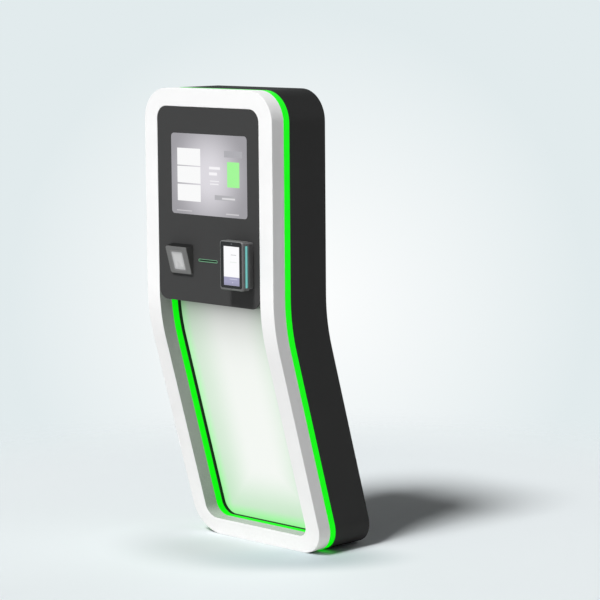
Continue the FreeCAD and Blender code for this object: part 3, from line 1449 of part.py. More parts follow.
def printer_chassis():
    right = CHASSIS_RIGHT - CHASSIS_SHEET
    floor = block(
        CHASSIS_LEFT, CHASSIS_RIGHT, at_depth(CHASSIS_FRONT_DEPTH), at_depth(CHASSIS_BACK_DEPTH),
        CHASSIS_BOTTOM, CHASSIS_BOTTOM + CHASSIS_SHEET,
    )
    chassis = floor.fuse([chassis_side(CHASSIS_LEFT), chassis_side(right)])
    bearings = (
        (PLATEN_SHAFT_RADIUS + SHAFT_GAP, PLATEN_DEPTH, PLATEN_Z),
        (HEAD_PIVOT_RADIUS + SHAFT_GAP, HEAD_PIVOT_DEPTH, HEAD_PIVOT_Z),
        (SPINDLE_RADIUS, ROLL_DEPTH, ROLL_Z),
    )
    for radius, depth, z in bearings:
        chassis = chassis.cut(rod_x(
            radius, CHASSIS_LEFT - OVERRUN, CHASSIS_RIGHT + OVERRUN, at_depth(depth), z,
        ))
    lift_out = block(
        CHASSIS_LEFT - OVERRUN, CHASSIS_RIGHT + OVERRUN,
        at_depth(ROLL_DEPTH) - SPINDLE_RADIUS, at_depth(ROLL_DEPTH) + SPINDLE_RADIUS,
        ROLL_Z, CHASSIS_TOP + OVERRUN,
    )
    shaft_hole = rod_x(
        2 * MOTOR_SHAFT_RADIUS, right - OVERRUN, CHASSIS_RIGHT + OVERRUN, at_depth(PINION_DEPTH), PINION_Z,
    )
    return chassis.cut([lift_out, shaft_hole]).removeSplitter()


def gear(teeth, x0, width, depth, z, bore, phase):
    """Spur gear with an axis along X and straight-flanked teeth."""
    flank = (
        (GEAR_MODULE * (teeth / 2 - TOOTH_ROOT), TOOTH_ROOT_SHARE),
        (GEAR_MODULE * teeth / 2, TOOTH_PITCH_SHARE),
        (GEAR_MODULE * (teeth / 2 + TOOTH_TIP), TOOTH_TIP_SHARE),
    )
    tooth = [(radius, -share) for radius, share in flank] + list(reversed(flank))
    step = 360 / teeth
    points = []
    for index in range(teeth):
        for radius, share in tooth:
            a = math.radians(phase + step * (index + share))
            points.append(V(x0, at_depth(depth) + radius * math.cos(a), z + radius * math.sin(a)))
    solid = Part.Face(Part.makePolygon(points + points[:1])).extrude(V(width, 0, 0))
    return solid.cut(rod_x(bore, x0 - OVERRUN, x0 + width + OVERRUN, at_depth(depth), z))


def platen_shaft():
    reach = GEAR_LEFT + GEAR_WIDTH
    start = CHASSIS_LEFT - PLATEN_SHAFT_END
    return rod_x(PLATEN_SHAFT_RADIUS, start, reach, at_depth(PLATEN_DEPTH), PLATEN_Z)


def platen_roller():
    x0 = SLOT_CENTRE_X - PLATEN_LENGTH / 2
    x1 = SLOT_CENTRE_X + PLATEN_LENGTH / 2
    y = at_depth(PLATEN_DEPTH)
    roller = rod_x(PLATEN_RADIUS, x0, x1, y, PLATEN_Z)
    return roller.cut(rod_x(PLATEN_SHAFT_RADIUS, x0 - OVERRUN, x1 + OVERRUN, y, PLATEN_Z))


def platen_gear():
    return gear(
        PLATEN_TEETH, GEAR_LEFT, GEAR_WIDTH, PLATEN_DEPTH, PLATEN_Z, PLATEN_SHAFT_RADIUS,
        PINION_ANGLE,
    )


def motor_pinion():
    phase = PINION_ANGLE + 180 + 180 / PINION_TEETH
    pinion = gear(
        PINION_TEETH, GEAR_LEFT, GEAR_WIDTH, PINION_DEPTH, PINION_Z, MOTOR_SHAFT_RADIUS, phase,
    )
    start = CHASSIS_RIGHT - CHASSIS_SHEET - MOTOR_SHAFT_SINK
    return pinion.fuse(rod_x(
        MOTOR_SHAFT_RADIUS, start, GEAR_LEFT + GEAR_WIDTH, at_depth(PINION_DEPTH), PINION_Z,
    ))


def printer_motor():
    y = at_depth(PINION_DEPTH)
    half = MOTOR_SIZE / 2
    right = CHASSIS_RIGHT - CHASSIS_SHEET
    body = block(right - MOTOR_LENGTH, right, y - half, y + half, PINION_Z - half, PINION_Z + half)
    corners = [e for e in body.Edges if abs(e.tangentAt(e.FirstParameter).x) > 0.9]
    body = body.makeChamfer(MOTOR_BEVEL, corners)
    bore = rod_x(
        MOTOR_SHAFT_RADIUS + SHAFT_GAP, right - MOTOR_SHAFT_SINK - SHAFT_GAP, right + OVERRUN, y, PINION_Z,
    )
    return body.cut(bore)


def thermal_head():
    z0 = SLOT_CENTRE_Z + HEAD_GAP
    z1 = z0 + HEAD_HEIGHT
    half = HEAD_WIDTH / 2
    y0 = at_depth(HEAD_FRONT_DEPTH)
    y1 = at_depth(HEAD_BACK_DEPTH)
    pivot_y = at_depth(HEAD_PIVOT_DEPTH)
    head = block(SLOT_CENTRE_X - half, SLOT_CENTRE_X + half, y0, y1, z0, z1)
    for side in (-1, 1):
        inner = SLOT_CENTRE_X + side * (half - HEAD_ARM_SHEET)
        outer = SLOT_CENTRE_X + side * half
        x0, x1 = sorted((inner, outer))
        arm = block(x0, x1, y1 - 2 * HEAD_ARM_SHEET, pivot_y, z1 - HEAD_ARM_RADIUS, z1 + HEAD_ARM_SHEET)
        boss = rod_x(HEAD_ARM_RADIUS, x0, x1, pivot_y, HEAD_PIVOT_Z)
        head = head.fuse([arm, boss])
    pivot = rod_x(HEAD_PIVOT_RADIUS, CHASSIS_LEFT, CHASSIS_RIGHT, pivot_y, HEAD_PIVOT_Z)
    return head.fuse(pivot)


def blade_plane():
    return (CUTTER_FRONT_DEPTH + CUTTER_BACK_DEPTH) / 2


def cutter_frame():
    half = CUTTER_WIDTH / 2
    y0 = at_depth(CUTTER_FRONT_DEPTH)
    y1 = at_depth(CUTTER_BACK_DEPTH)
    frame = block(
        SLOT_CENTRE_X - half, SLOT_CENTRE_X + half, y0, y1, SHELF_BOTTOM + SHELF_SHEET, CUTTER_TOP,
    )
    inner = half - CUTTER_POST
    well_top = CUTTER_TOP - CUTTER_POST
    frame = frame.cut(block(
        SLOT_CENTRE_X - inner, SLOT_CENTRE_X + inner, y0 - OVERRUN, y1 + OVERRUN,
        SLOT_CENTRE_Z - CUTTER_SLOT_HEIGHT / 2, well_top,
    ))
    groove = inner + BLADE_ENGAGE + BLADE_GAP
    middle = at_depth(blade_plane())
    slit = BLADE_SHEET / 2 + BLADE_GAP
    low = SLOT_CENTRE_Z + BLADE_LIFT - BLADE_TRAVEL - CUTTER_SLOT_HEIGHT
    return frame.cut(block(
        SLOT_CENTRE_X - groove, SLOT_CENTRE_X + groove, middle - slit, middle + slit, low, well_top,
    ))


def cutter_blade():
    half = CUTTER_WIDTH / 2 - CUTTER_POST + BLADE_ENGAGE
    middle = at_depth(blade_plane())
    low = SLOT_CENTRE_Z + BLADE_LIFT
    return block(
        SLOT_CENTRE_X - half, SLOT_CENTRE_X + half,
        middle - BLADE_SHEET / 2, middle + BLADE_SHEET / 2, low, low + BLADE_HEIGHT,
    )


def roll_spindle():
    y = at_depth(ROLL_DEPTH)
    spindle = rod_x(SPINDLE_RADIUS, CHASSIS_LEFT, CHASSIS_RIGHT, y, ROLL_Z)
    inner = CHASSIS_WIDTH / 2 - CHASSIS_SHEET
    for side in (-1, 1):
        ends = sorted((SLOT_CENTRE_X + side * inner, SLOT_CENTRE_X + side * (inner - SPINDLE_FLANGE)))
        spindle = spindle.fuse(rod_x(SPINDLE_FLANGE_RADIUS, ends[0], ends[1], y, ROLL_Z))
    return spindle


def paper_roll():
    x0 = SLOT_CENTRE_X - ROLL_WIDTH / 2
    x1 = SLOT_CENTRE_X + ROLL_WIDTH / 2
    y = at_depth(ROLL_DEPTH)
    roll = rod_x(ROLL_RADIUS, x0, x1, y, ROLL_Z)
    return roll.cut(rod_x(SPINDLE_RADIUS + SPINDLE_GAP, x0 - OVERRUN, x1 + OVERRUN, y, ROLL_Z))


# Equipment plate

def equipment_plate():
    y0 = at_depth(PLATE_DEPTH)
    y1 = y0 + PLATE_SHEET
    plate = block(-SHELL_INNER_X, SHELL_INNER_X, y0, y1, PLATE_BOTTOM, PLATE_TOP)
    for side in (-1, 1):
        ends = sorted((side * SHELL_INNER_X, side * (SHELL_INNER_X - PLATE_SHEET)))
        plate = plate.fuse(block(ends[0], ends[1], y0, y1 + PLATE_RETURN, PLATE_BOTTOM, PLATE_TOP))
    right = SHELL_INNER_X - PLATE_WINDOW_SIDE
    window = rounded_plate(
        right - PLATE_WINDOW_WIDTH, right, PLATE_BOTTOM + PLATE_WINDOW_END,
        PLATE_TOP - PLATE_WINDOW_END, PLATE_WINDOW_RADIUS, y0 - OVERRUN, y1 + OVERRUN,
    )
    return plate.cut(window).removeSplitter()


def plate_box(left, width, bottom, height, depth):
    """Box on the back of the equipment plate."""
    y0 = at_depth(PLATE_DEPTH + PLATE_SHEET)
    return block(left, left + width, y0, y0 + depth, bottom, bottom + height)


def controller_box():
    box = plate_box(
        CONTROLLER_LEFT, CONTROLLER_WIDTH, CONTROLLER_BOTTOM, CONTROLLER_HEIGHT, CONTROLLER_DEPTH,
    )
    back = at_depth(PLATE_DEPTH + PLATE_SHEET + CONTROLLER_DEPTH)
    pitch = CONTROLLER_WIDTH / FINS
    for index in range(FINS):
        x0 = CONTROLLER_LEFT + pitch * index + FIN_SHEET / 2
        box = box.cut(block(
            x0, x0 + pitch - FIN_SHEET, back - FIN_DEPTH, back + OVERRUN,
            CONTROLLER_BOTTOM - OVERRUN, CONTROLLER_BOTTOM + CONTROLLER_HEIGHT + OVERRUN,
        ))
    return box


def power_supply():
    box = plate_box(SUPPLY_LEFT, SUPPLY_WIDTH, SUPPLY_BOTTOM, SUPPLY_HEIGHT, SUPPLY_DEPTH)
    back = at_depth(PLATE_DEPTH + PLATE_SHEET + SUPPLY_DEPTH)
    first = SUPPLY_BOTTOM + (SUPPLY_HEIGHT - SUPPLY_SLOT_PITCH * (SUPPLY_SLOTS - 1)) / 2
    for index in range(SUPPLY_SLOTS):
        z = first + SUPPLY_SLOT_PITCH * index
        box = box.cut(block(
            SUPPLY_LEFT + SUPPLY_SLOT_PITCH, SUPPLY_LEFT + SUPPLY_WIDTH - SUPPLY_SLOT_PITCH,
            back - SUPPLY_SHEET, back + OVERRUN, z - SUPPLY_SLOT_HEIGHT / 2, z + SUPPLY_SLOT_HEIGHT / 2,
        ))
    return box


def toggle_well():
    x = BREAKER_LEFT + BREAKER_WIDTH / 2
    half = TOGGLE_WIDTH / 2 + TOGGLE_GAP
    y = at_depth(TOGGLE_DEPTH)
    tall = BREAKER_NOSE_HEIGHT / 2 - TOGGLE_SHEET
    return block(
        x - half, x + half, y - TOGGLE_RADIUS - TOGGLE_GAP, y + BREAKER_NOSE_DEPTH + OVERRUN,
        TOGGLE_Z - tall, TOGGLE_Z + tall,
    )


def circuit_breaker():
    body = plate_box(BREAKER_LEFT, BREAKER_WIDTH, BREAKER_BOTTOM, BREAKER_HEIGHT, BREAKER_DEPTH)
    y = at_depth(TOGGLE_DEPTH)
    nose = block(
        BREAKER_LEFT, BREAKER_LEFT + BREAKER_WIDTH, y, y + BREAKER_NOSE_DEPTH,
        TOGGLE_Z - BREAKER_NOSE_HEIGHT / 2, TOGGLE_Z + BREAKER_NOSE_HEIGHT / 2,
    )
    body = body.fuse(nose).cut(toggle_well())
    reach = TOGGLE_WIDTH / 2 + TOGGLE_SHEET
    x = BREAKER_LEFT + BREAKER_WIDTH / 2
    pin_hole = rod_x(TOGGLE_PIN_RADIUS + TOGGLE_PIN_GAP, x - reach, x + reach, y, TOGGLE_Z)
    return body.cut(pin_hole).removeSplitter()


def breaker_toggle():
    x = BREAKER_LEFT + BREAKER_WIDTH / 2
    y = at_depth(TOGGLE_DEPTH)
    half = TOGGLE_WIDTH / 2
    drum = rod_x(TOGGLE_RADIUS, x - half, x + half, y, TOGGLE_Z)
    reach = half + TOGGLE_SHEET - TOGGLE_GAP
    pin = rod_x(TOGGLE_PIN_RADIUS, x - reach, x + reach, y, TOGGLE_Z)
    lever = block(
        x - half, x + half, 0, TOGGLE_RADIUS + TOGGLE_LENGTH, -TOGGLE_SHEET / 2, TOGGLE_SHEET / 2,
    )
    lever.rotate(V(0, 0, 0), V(1, 0, 0), TOGGLE_RISE_ANGLE)
    lever.translate(V(0, y, TOGGLE_Z))
    return drum.fuse([pin, lever])


NODES = (
    front_frame, outer_light_guide, inner_light_guide, led_carrier, led_strips, frame_fasteners,
    rear_shell, recess_surround, recess_panel, backlight_tray, backlight_board, recess_ceiling,
    control_panel, case_screws, touch_screen, display_module,
    slot_light_guide, ticket_throat, ticket_flap,
    scanner_housing, scanner_bezel, scanner_window, scan_engine,
    payment_housing, payment_glass, payment_display, payment_camera, payment_light_bars,
    printer_chassis, platen_shaft, platen_roller, platen_gear, motor_pinion, printer_motor,
    thermal_head, cutter_frame, cutter_blade, roll_spindle, paper_roll, printer_shelf,
    spine_posts, base_plate, ballast_plates, side_brackets, cable_grommet,
    equipment_plate, controller_box, power_supply, circuit_breaker, breaker_toggle,
    rear_door, door_gasket, hinge_leaves, door_hinge_leaves, hinge_pins,
    lock_barrel, lock_cam, fan_frame, fan_rotor, rear_cover,
)


def main():
    os.makedirs("parts", exist_ok=True)
    for make in NODES:
        shape = make()
        shape.exportStep("parts/" + make.__name__ + ".step")


main()
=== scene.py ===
# Parking entry terminal: the finishes, the casing's dressed pieces and the stage round
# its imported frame.  Metres.  X is the viewer's right, Y runs from the front to the back
# and Z is up.  "Depth" is always measured horizontally from the front surface.

import json
import math

import bmesh
import bpy
from bpy.props import FloatProperty, FloatVectorProperty, PointerProperty
from bpy.types import Operator, Panel, PropertyGroup
from mathutils import Matrix, Vector

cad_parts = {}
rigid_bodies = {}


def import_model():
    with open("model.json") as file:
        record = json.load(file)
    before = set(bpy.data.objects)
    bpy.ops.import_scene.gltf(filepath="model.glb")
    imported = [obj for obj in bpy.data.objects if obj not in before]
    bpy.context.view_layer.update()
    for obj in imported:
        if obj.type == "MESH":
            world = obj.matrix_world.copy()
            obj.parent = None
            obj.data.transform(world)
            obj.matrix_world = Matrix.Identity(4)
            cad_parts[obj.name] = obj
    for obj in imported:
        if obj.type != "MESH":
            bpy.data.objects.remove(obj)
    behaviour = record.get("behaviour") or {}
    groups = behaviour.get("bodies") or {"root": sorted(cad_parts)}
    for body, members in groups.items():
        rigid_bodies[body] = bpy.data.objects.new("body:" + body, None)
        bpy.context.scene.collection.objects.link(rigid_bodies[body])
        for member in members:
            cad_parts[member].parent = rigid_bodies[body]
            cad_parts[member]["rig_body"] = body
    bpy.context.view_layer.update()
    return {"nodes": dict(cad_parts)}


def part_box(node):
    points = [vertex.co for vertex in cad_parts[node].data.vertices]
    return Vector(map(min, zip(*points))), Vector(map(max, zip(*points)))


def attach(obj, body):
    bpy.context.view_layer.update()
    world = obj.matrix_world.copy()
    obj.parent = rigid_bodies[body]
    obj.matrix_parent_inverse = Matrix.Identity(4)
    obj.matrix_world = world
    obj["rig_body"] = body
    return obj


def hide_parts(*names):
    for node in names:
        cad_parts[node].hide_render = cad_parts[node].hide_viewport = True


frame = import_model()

FRONT_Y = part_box("front_frame")[0].y

bl_info = {
    "name": "Parking entry terminal",
    "version": (1, 0, 0),
    "blender": (4, 5, 0),
    "location": "3D View > Sidebar > Terminal",
    "description": "Finishes, casing details and studio for a parking entry terminal",
    "category": "Object",
}


def shade(red, green, blue):
    """Linear colour of a screen tone given in steps of 0 to 255."""
    linear = []
    for step in (red, green, blue):
        share = step / 255
        linear.append(share / 12.92 if share <= 0.04045 else ((share + 0.055) / 1.055) ** 2.4)
    return (*linear, 1.0)


def tone(name, description, red, green, blue):
    """Colour property with a screen tone as its default."""
    return FloatVectorProperty(
        name=name, description=description, subtype="COLOR", size=4, min=0, max=1,
        default=shade(red, green, blue),
    )


def length(name, description, default):
    """Length property in metres."""
    return FloatProperty(
        name=name, description=description, subtype="DISTANCE", unit="LENGTH", default=default,
    )


def angle(name, description, degrees):
    """Angle property with its default given in degrees."""
    return FloatProperty(
        name=name, description=description, subtype="ANGLE", unit="ROTATION",
        default=math.radians(degrees),
    )


def level(name, description, default):
    """Property that is a plain number."""
    return FloatProperty(name=name, description=description, default=default)


class TerminalColours(PropertyGroup):
    """Colours of the painted, moulded and lit surfaces, and of the light and shade painted on some
    of them.
    """

    white_coat: tone("White coat", "Powder coat of the front frame", 246, 246, 246)
    # Painted shade with a little painted green light: a darker, greenish grey on the frame's inner
    # return.
    return_shade_coat: tone("Lining coat", "Duller coat on the frame's inner return", 138, 142, 138)
    black_coat: tone("Black coat", "Powder coat of the rear casing", 59, 59, 59)
    graphite_coat: tone("Graphite coat", "Powder coat of the control panel", 61, 61, 61)
    ring_light: tone("Ring light", "Light of the ring between frame and casing", 0, 246, 4)
    recess_light: tone("Recess light", "Light of the recess panel", 243, 246, 242)
    # Painted light: the recess side, foot and edge tones are a green glow painted along the recess
    # panel's edges.
    recess_side_glow: tone("Recess side", "Paler green towards the recess panel's edges", 212, 232, 212)
    recess_foot_glow: tone("Recess foot", "The same towards the foot", 196, 229, 197)
    recess_edge: tone("Recess edge", "Green glow along the recess panel's edge", 176, 255, 178)
    recess_edge_low: tone("Recess edge foot", "The same towards the foot", 146, 252, 146)
    teal_light: tone("Teal light", "Light bars of the payment device", 120, 200, 195)
    ticket_light: tone("Ticket light", "Lit rim of the ticket slot", 122, 176, 140)
    reader_grey: tone("Reader grey", "Face of the code reader", 112, 112, 111)
    payment_grey: tone("Payment grey", "Case of the payment device", 104, 104, 104)


class TerminalSizes(PropertyGroup):
    """Sizes of the casing's modelled details."""

    frame_round: length("Frame round", "Rounding of the front frame's edges", 0.0016)
    guide_round: length("Guide round", "Rounding of the light guides' edges", 0.0006)
    sheet_round: length("Sheet round", "Rounding of cut sheet edges", 0.0004)
    plastic_round: length("Plastic round", "Rounding of moulded edges", 0.0004)
    small_round: length("Small round", "Rounding of small turned parts", 0.0002)


class TerminalStudio(PropertyGroup):
    """Camera, lamps and floor."""

    distance_right: length("Camera right", "Camera place along X", 5.4795)
    distance_front: length("Camera front", "Camera place in front of the origin", 5.4002)
    camera_height: length("Camera height", "Camera height above the floor", 1.7618)
    camera_turn: angle("Camera turn", "Turn of the view about the vertical", 45.22)
    camera_pitch: angle("Camera pitch", "Downward tilt of the view", 7.37)
    camera_roll: angle("Camera roll", "Roll of the view", 0.44)
    lens: level("Lens", "Focal length in millimetres", 145.85)
    key_rise: angle("Key rise", "Height of the key light above the horizon", 54)
    key_turn: angle("Key turn", "Turn of the key light towards the right", 4)
    key_softness: angle("Key softness", "Width of the key light as seen from the object", 14)
    key_strength: level("Key strength", "Strength of the key light", 3.35)
    front_strength: level("Front fill", "Strength of the front fill", 0.52)
    back_strength: level("Back fill", "Strength of the back fill", 1.3)
    room_strength: level("Room light", "Even light of the room", 0.07)
    floor_tone: tone("Floor", "Colour of the floor", 229, 235, 237)
    floor_bounce: tone("Floor bounce", "Floor as it lights the object", 220, 220, 220)
    # Painted shade on the floor: a darker tone in front, which takes back some of the recess's
    # light there, and a painted soft shadow by the foot.
    front_shade_tone: tone("Front shade", "Floor in front, lit by the recess", 196, 202, 204)
    contact_tone: tone("Contact shade", "Floor in the soft shade by the foot", 187, 198, 201)
    centre_tone: tone("Backdrop centre", "Brightest part of the backdrop", 254, 255, 255)
    rim_tone: tone("Backdrop rim", "Outer part of the backdrop", 226, 235, 237)
    room_tone: tone("Room", "Colour of the room light", 235, 235, 235)


def colours():
    return bpy.context.scene.terminal_colours


def sizes():
    return bpy.context.scene.terminal_sizes


def studio():
    return bpy.context.scene.terminal_studio


# Node building

EFFECTS = {}

# Places of a mix node's colour sockets, which share their names with others.
FIRST_COLOUR = 6
SECOND_COLOUR = 7
MIXED_COLOUR = 2

# Nearly all of a noise's values lie in this span, and the others pick out its patches.
NOISE_SPAN = (0.3, 0.7)
WORN_PATCHES = (0.45, 0.7)
DUST_PATCHES = (0.35, 0.75)
FIBRE_PATCHES = (0.4, 0.7)

# Cosines between a surface and its rounded edge, from untouched to fully worn.
WORN_TURN = (0.995, 0.8)

# How far a surface faces up: from bare to dusty, and from a side to a top that takes painted
# shade.
DUSTY_RISE = (0.5, 1.0)
SHADED_TOP_RISE = (0.1, 0.8)

# How fine the patterns are.  The coarse grain's scale is a share of the fine one's.
COARSE_GRAIN = 0.3
DUST_SCALE = 90.0
FIBRE_SCALE = 900.0
FLAKE_SCALE = 160.0


class Wiring:
    """Short hand for adding and joining the nodes of one tree.

    Its place is the socket that says where a point is, and its end is the node that the
    others feed: a finish's shader or an effect's outputs.
    """

    def __init__(self, tree):
        self.tree = tree

    def add(self, kind, inputs=None, **settings):
        """New node, with inputs by name or number and its own settings."""
        node = self.tree.nodes.new(kind)
        for name, value in settings.items():
            setattr(node, name, value)
        for name, value in (inputs or {}).items():
            self.feed(value, node.inputs[name])
        return node

    def feed(self, value, socket):
        """Join a socket, or set a plain value."""
        if isinstance(value, bpy.types.NodeSocket):
            self.tree.links.new(value, socket)
        else:
            socket.default_value = value

    def fill(self, node, **inputs):
        """Feed inputs by name, with _ for a space."""
        for name, value in inputs.items():
            self.feed(value, node.inputs[name.replace("_", " ")])
        return node.outputs

    def finish(self, **inputs):
        self.fill(self.end, **inputs)

    def use(self, effect_name, **inputs):
        """Outputs of a shared effect."""
        group = self.add("ShaderNodeGroup", node_tree=EFFECTS[effect_name])
        return self.fill(group, Place=self.place, **inputs)

    def math(self, operation, first, second=0.0, clamp=False):
        inputs = {0: first, 1: second}
        return self.add("ShaderNodeMath", inputs, operation=operation, use_clamp=clamp).outputs[0]

    def times(self, first, second):
        return self.math("MULTIPLY", first, second)

    def minus(self, first, second):
        return self.math("SUBTRACT", first, second)

    def over(self, first, second):
        return self.math("DIVIDE", first, second)

    def vector(self, operation, *values):
        inputs = dict(enumerate(values))
        return self.add("ShaderNodeVectorMath", inputs, operation=operation).outputs

    def blend(self, share, first, second):
        """Colour that is the first where the share is 0 and the second where it is 1."""
        inputs = {"Factor": share, FIRST_COLOUR: first, SECOND_COLOUR: second}
        return self.add("ShaderNodeMix", inputs, data_type="RGBA").outputs[MIXED_COLOUR]

    def tint(self, colour, mask, amount, new_colour):
        """Colour that takes on an amount of a new one where the mask is 1."""
        return self.blend(self.times(mask, amount), colour, new_colour)

    def ramp(self, value, low, high, new_low=0.0, new_high=1.0, smooth=False):
        """Value carried over from one span to another, and kept within it."""
        kind = "SMOOTHSTEP" if smooth else "LINEAR"
        node = self.add("ShaderNodeMapRange", interpolation_type=kind)
        ends = {"From_Min": low, "From_Max": high, "To_Min": new_low, "To_Max": new_high}
        return self.fill(node, Value=value, **ends)["Result"]

    def between(self, mask, low, high):
        """Value that rises from low to high with a mask."""
        return self.ramp(mask, 0.0, 1.0, low, high)

    def noise(self, scale, detail, place=None):
        inputs = {"Vector": place or self.place, "Scale": scale, "Detail": detail}
        return self.add("ShaderNodeTexNoise", inputs).outputs["Fac"]

    def split(self, vector, axis):
        return self.add("ShaderNodeSeparateXYZ", {"Vector": vector}).outputs[axis]

    def along(self, axis):
        """Place along an axis, in metres."""
        return self.split(self.place, axis)

    def normal(self):
        return self.add("ShaderNodeNewGeometry").outputs["Normal"]

    def facing(self, axis):
        """1 where the surface faces along an axis, -1 where it faces back."""
        return self.split(self.normal(), axis)

    def bump(self, height, strength, reach):
        inputs = {"Strength": strength, "Distance": reach, "Height": height}
        return self.add("ShaderNodeBump", inputs).outputs["Normal"]

    def mix_shaders(self, share, first, second):
        inputs = {0: share, 1: first.outputs[0], 2: second.outputs[0]}
        return self.add("ShaderNodeMixShader", inputs).outputs[0]


def empty_tree(owner, place="Object"):
    """Wiring of a material's or world's emptied tree."""
    owner.use_nodes = True
    owner.node_tree.nodes.clear()
    wires = Wiring(owner.node_tree)
    wires.place = wires.add("ShaderNodeTexCoord").outputs[place]
    return wires


def effect(name, inputs, outputs):
    """New shared node group: its wiring and what it is given."""
    tree = EFFECTS[name] = bpy.data.node_groups.new(name, "ShaderNodeTree")
    sockets = tree.interface
    sockets.new_socket(name="Place", in_out="INPUT", socket_type="NodeSocketVector")
    for label, default in inputs.items():
        kind = "NodeSocketVector" if isinstance(default, tuple) else "NodeSocketFloat"
        sockets.new_socket(name=label, in_out="INPUT", socket_type=kind).default_value = default
    for label in outputs:
        sockets.new_socket(name=label, in_out="OUTPUT", socket_type="NodeSocketFloat")
    wires = Wiring(tree)
    given = wires.add("NodeGroupInput").outputs
    wires.place = given["Place"]
    wires.end = wires.add("NodeGroupOutput")
    return wires, given


def fine_texture_effect():
    """Fine pebbled texture of powder coat and moulded plastic, with slow cloudy changes."""
    wires, given = effect(
        "fine_texture", {"Grain": 0.0008, "Cloud": 0.12}, ("Height", "Grain Mask", "Cloud Mask"),
    )
    fine = wires.noise(wires.over(1.0, given["Grain"]), 2.0)
    coarse = wires.noise(wires.over(COARSE_GRAIN, given["Grain"]), 1.0)
    cloud = wires.noise(wires.over(1.0, given["Cloud"]), 3.0)
    wires.finish(
        Height=wires.times(wires.math("ADD", fine, coarse), 0.5),
        Grain_Mask=wires.ramp(fine, *NOISE_SPAN), Cloud_Mask=wires.ramp(cloud, *NOISE_SPAN),
    )


def brushed_effect():
    """Fine scratches along one direction, as rolled or ground metal has."""
    wires, given = effect(
        "brushed_grain", {"Stretch": (1.0, 1.0, 1.0), "Pitch": 0.0006}, ("Height", "Streak Mask"),
    )
    stretched = wires.vector("MULTIPLY", wires.place, given["Stretch"])["Vector"]
    streaks = wires.noise(wires.over(1.0, given["Pitch"]), 4.0, stretched)
    wires.finish(Height=streaks, Streak_Mask=wires.ramp(streaks, *NOISE_SPAN))


def edge_wear_effect():
    """Places near an outer edge, broken up as rubbing does."""
    wires, given = effect("edge_wear", {"Reach": 0.002, "Patch": 0.02}, ("Mask",))
    rounded = wires.add("ShaderNodeBevel", {"Radius": given["Reach"]}, samples=4).outputs["Normal"]
    near = wires.ramp(wires.vector("DOT_PRODUCT", rounded, wires.normal())["Value"], *WORN_TURN)
    patches = wires.noise(wires.over(1.0, given["Patch"]), 4.0)
    wires.finish(Mask=wires.times(near, wires.ramp(patches, *WORN_PATCHES)))


def dust_effect():
    """Thin dust on upward surfaces and near the floor, and a mask of the tops that take painted
    shade.
    """
    wires, given = effect("settled_dust", {"Floor Reach": 0.12}, ("Mask", "Up Mask"))
    facing_up = wires.facing("Z")
    low = wires.over(wires.along("Z"), given["Floor Reach"])
    near_floor = wires.ramp(low, 0.0, 1.0, 0.5, 0.0, smooth=True)
    either = wires.math("MAXIMUM", wires.ramp(facing_up, *DUSTY_RISE), near_floor)
    specks = wires.ramp(wires.noise(DUST_SCALE, 6.0), *DUST_PATCHES)
    wires.finish(Mask=wires.times(either, specks), Up_Mask=wires.ramp(facing_up, *SHADED_TOP_RISE))


BLOCK_SOFTNESS = 0.0006


def block_effect():
    """Rounded block on a face: 1 inside it, and the distance outwards from its edge."""
    measures = {
        "Centre X": 0.0, "Centre Z": 0.0, "Half Width": 0.05, "Half Height": 0.05,
        "Corner": 0.002, "Softness": BLOCK_SOFTNESS,
    }
    wires, given = effect("picture_block", measures, ("Mask", "Distance"))
    corner, softness = given["Corner"], given["Softness"]
    beyond = []
    for axis, half in (("X", "Half Width"), ("Z", "Half Height")):
        offset = wires.math("ABSOLUTE", wires.minus(wires.along(axis), given[f"Centre {axis}"]))
        beyond.append(wires.minus(offset, wires.minus(given[half], corner)))
    outside = [wires.math("MAXIMUM", value, 0.0) for value in beyond]
    squares = [wires.times(value, value) for value in outside]
    round_part = wires.math("SQRT", wires.math("ADD", *squares))
    straight_part = wires.math("MINIMUM", wires.math("MAXIMUM", *beyond), 0.0)
    distance = wires.minus(wires.math("ADD", round_part, straight_part), corner)
    mask = wires.ramp(distance, wires.times(softness, -1.0), softness, 1.0, 0.0, smooth=True)
    wires.finish(Mask=mask, Distance=distance)


def block(wires, centre, half, corner, softness=BLOCK_SOFTNESS):
    """Rounded block with its centre and half sizes given as X and Z."""
    return wires.use(
        "picture_block", Centre_X=centre[0], Centre_Z=centre[1], Half_Width=half[0],
        Half_Height=half[1], Corner=corner, Softness=softness,
    )


def centre_and_half(name):
    """Centre and half sizes of a node's front face, each as X and Z."""
    low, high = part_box(name)
    centre = ((low.x + high.x) / 2, (low.z + high.z) / 2)
    return centre, ((high.x - low.x) / 2, (high.z - low.z) / 2)


# Casing lines.  The front is upright above the bend and leans back below it.

LEAN = math.radians(16)
BEND_HEIGHT = 0.74
BEND_RADIUS = 0.6
CASING_HALF = 0.286
CASING_LOW = 0.0
CASING_HIGH = 1.45
CASING_CORNER = 0.097
OPENING_HALF = 0.228
OPENING_LOW = 0.0558
OPENING_HIGH = 1.3945
OPENING_CORNER = 0.04
FRAME_DEPTH = 0.049
FRAME_SHEET = 0.003
GUIDE_GAP = 0.0005
GUIDE_DEPTH = 0.025
OUTER_GUIDE_WALL = 0.008
INNER_GUIDE_WALL = 0.006

BEND_TANGENT = BEND_RADIUS * math.tan(LEAN / 2)
BEND_TOP = BEND_HEIGHT + BEND_TANGENT
BEND_BOTTOM = BEND_HEIGHT - BEND_TANGENT * math.cos(LEAN)


def front_y(z):
    """Y of the casing's front surface at a height."""
    if z >= BEND_TOP:
        return FRONT_Y
    if z <= BEND_BOTTOM:
        return FRONT_Y + (BEND_HEIGHT - z) * math.tan(LEAN)
    drop = BEND_TOP - z
    return FRONT_Y + BEND_RADIUS - math.sqrt(BEND_RADIUS ** 2 - drop ** 2)


# Materials

FINISHES = {}

BLACK = shade(0, 0, 0)

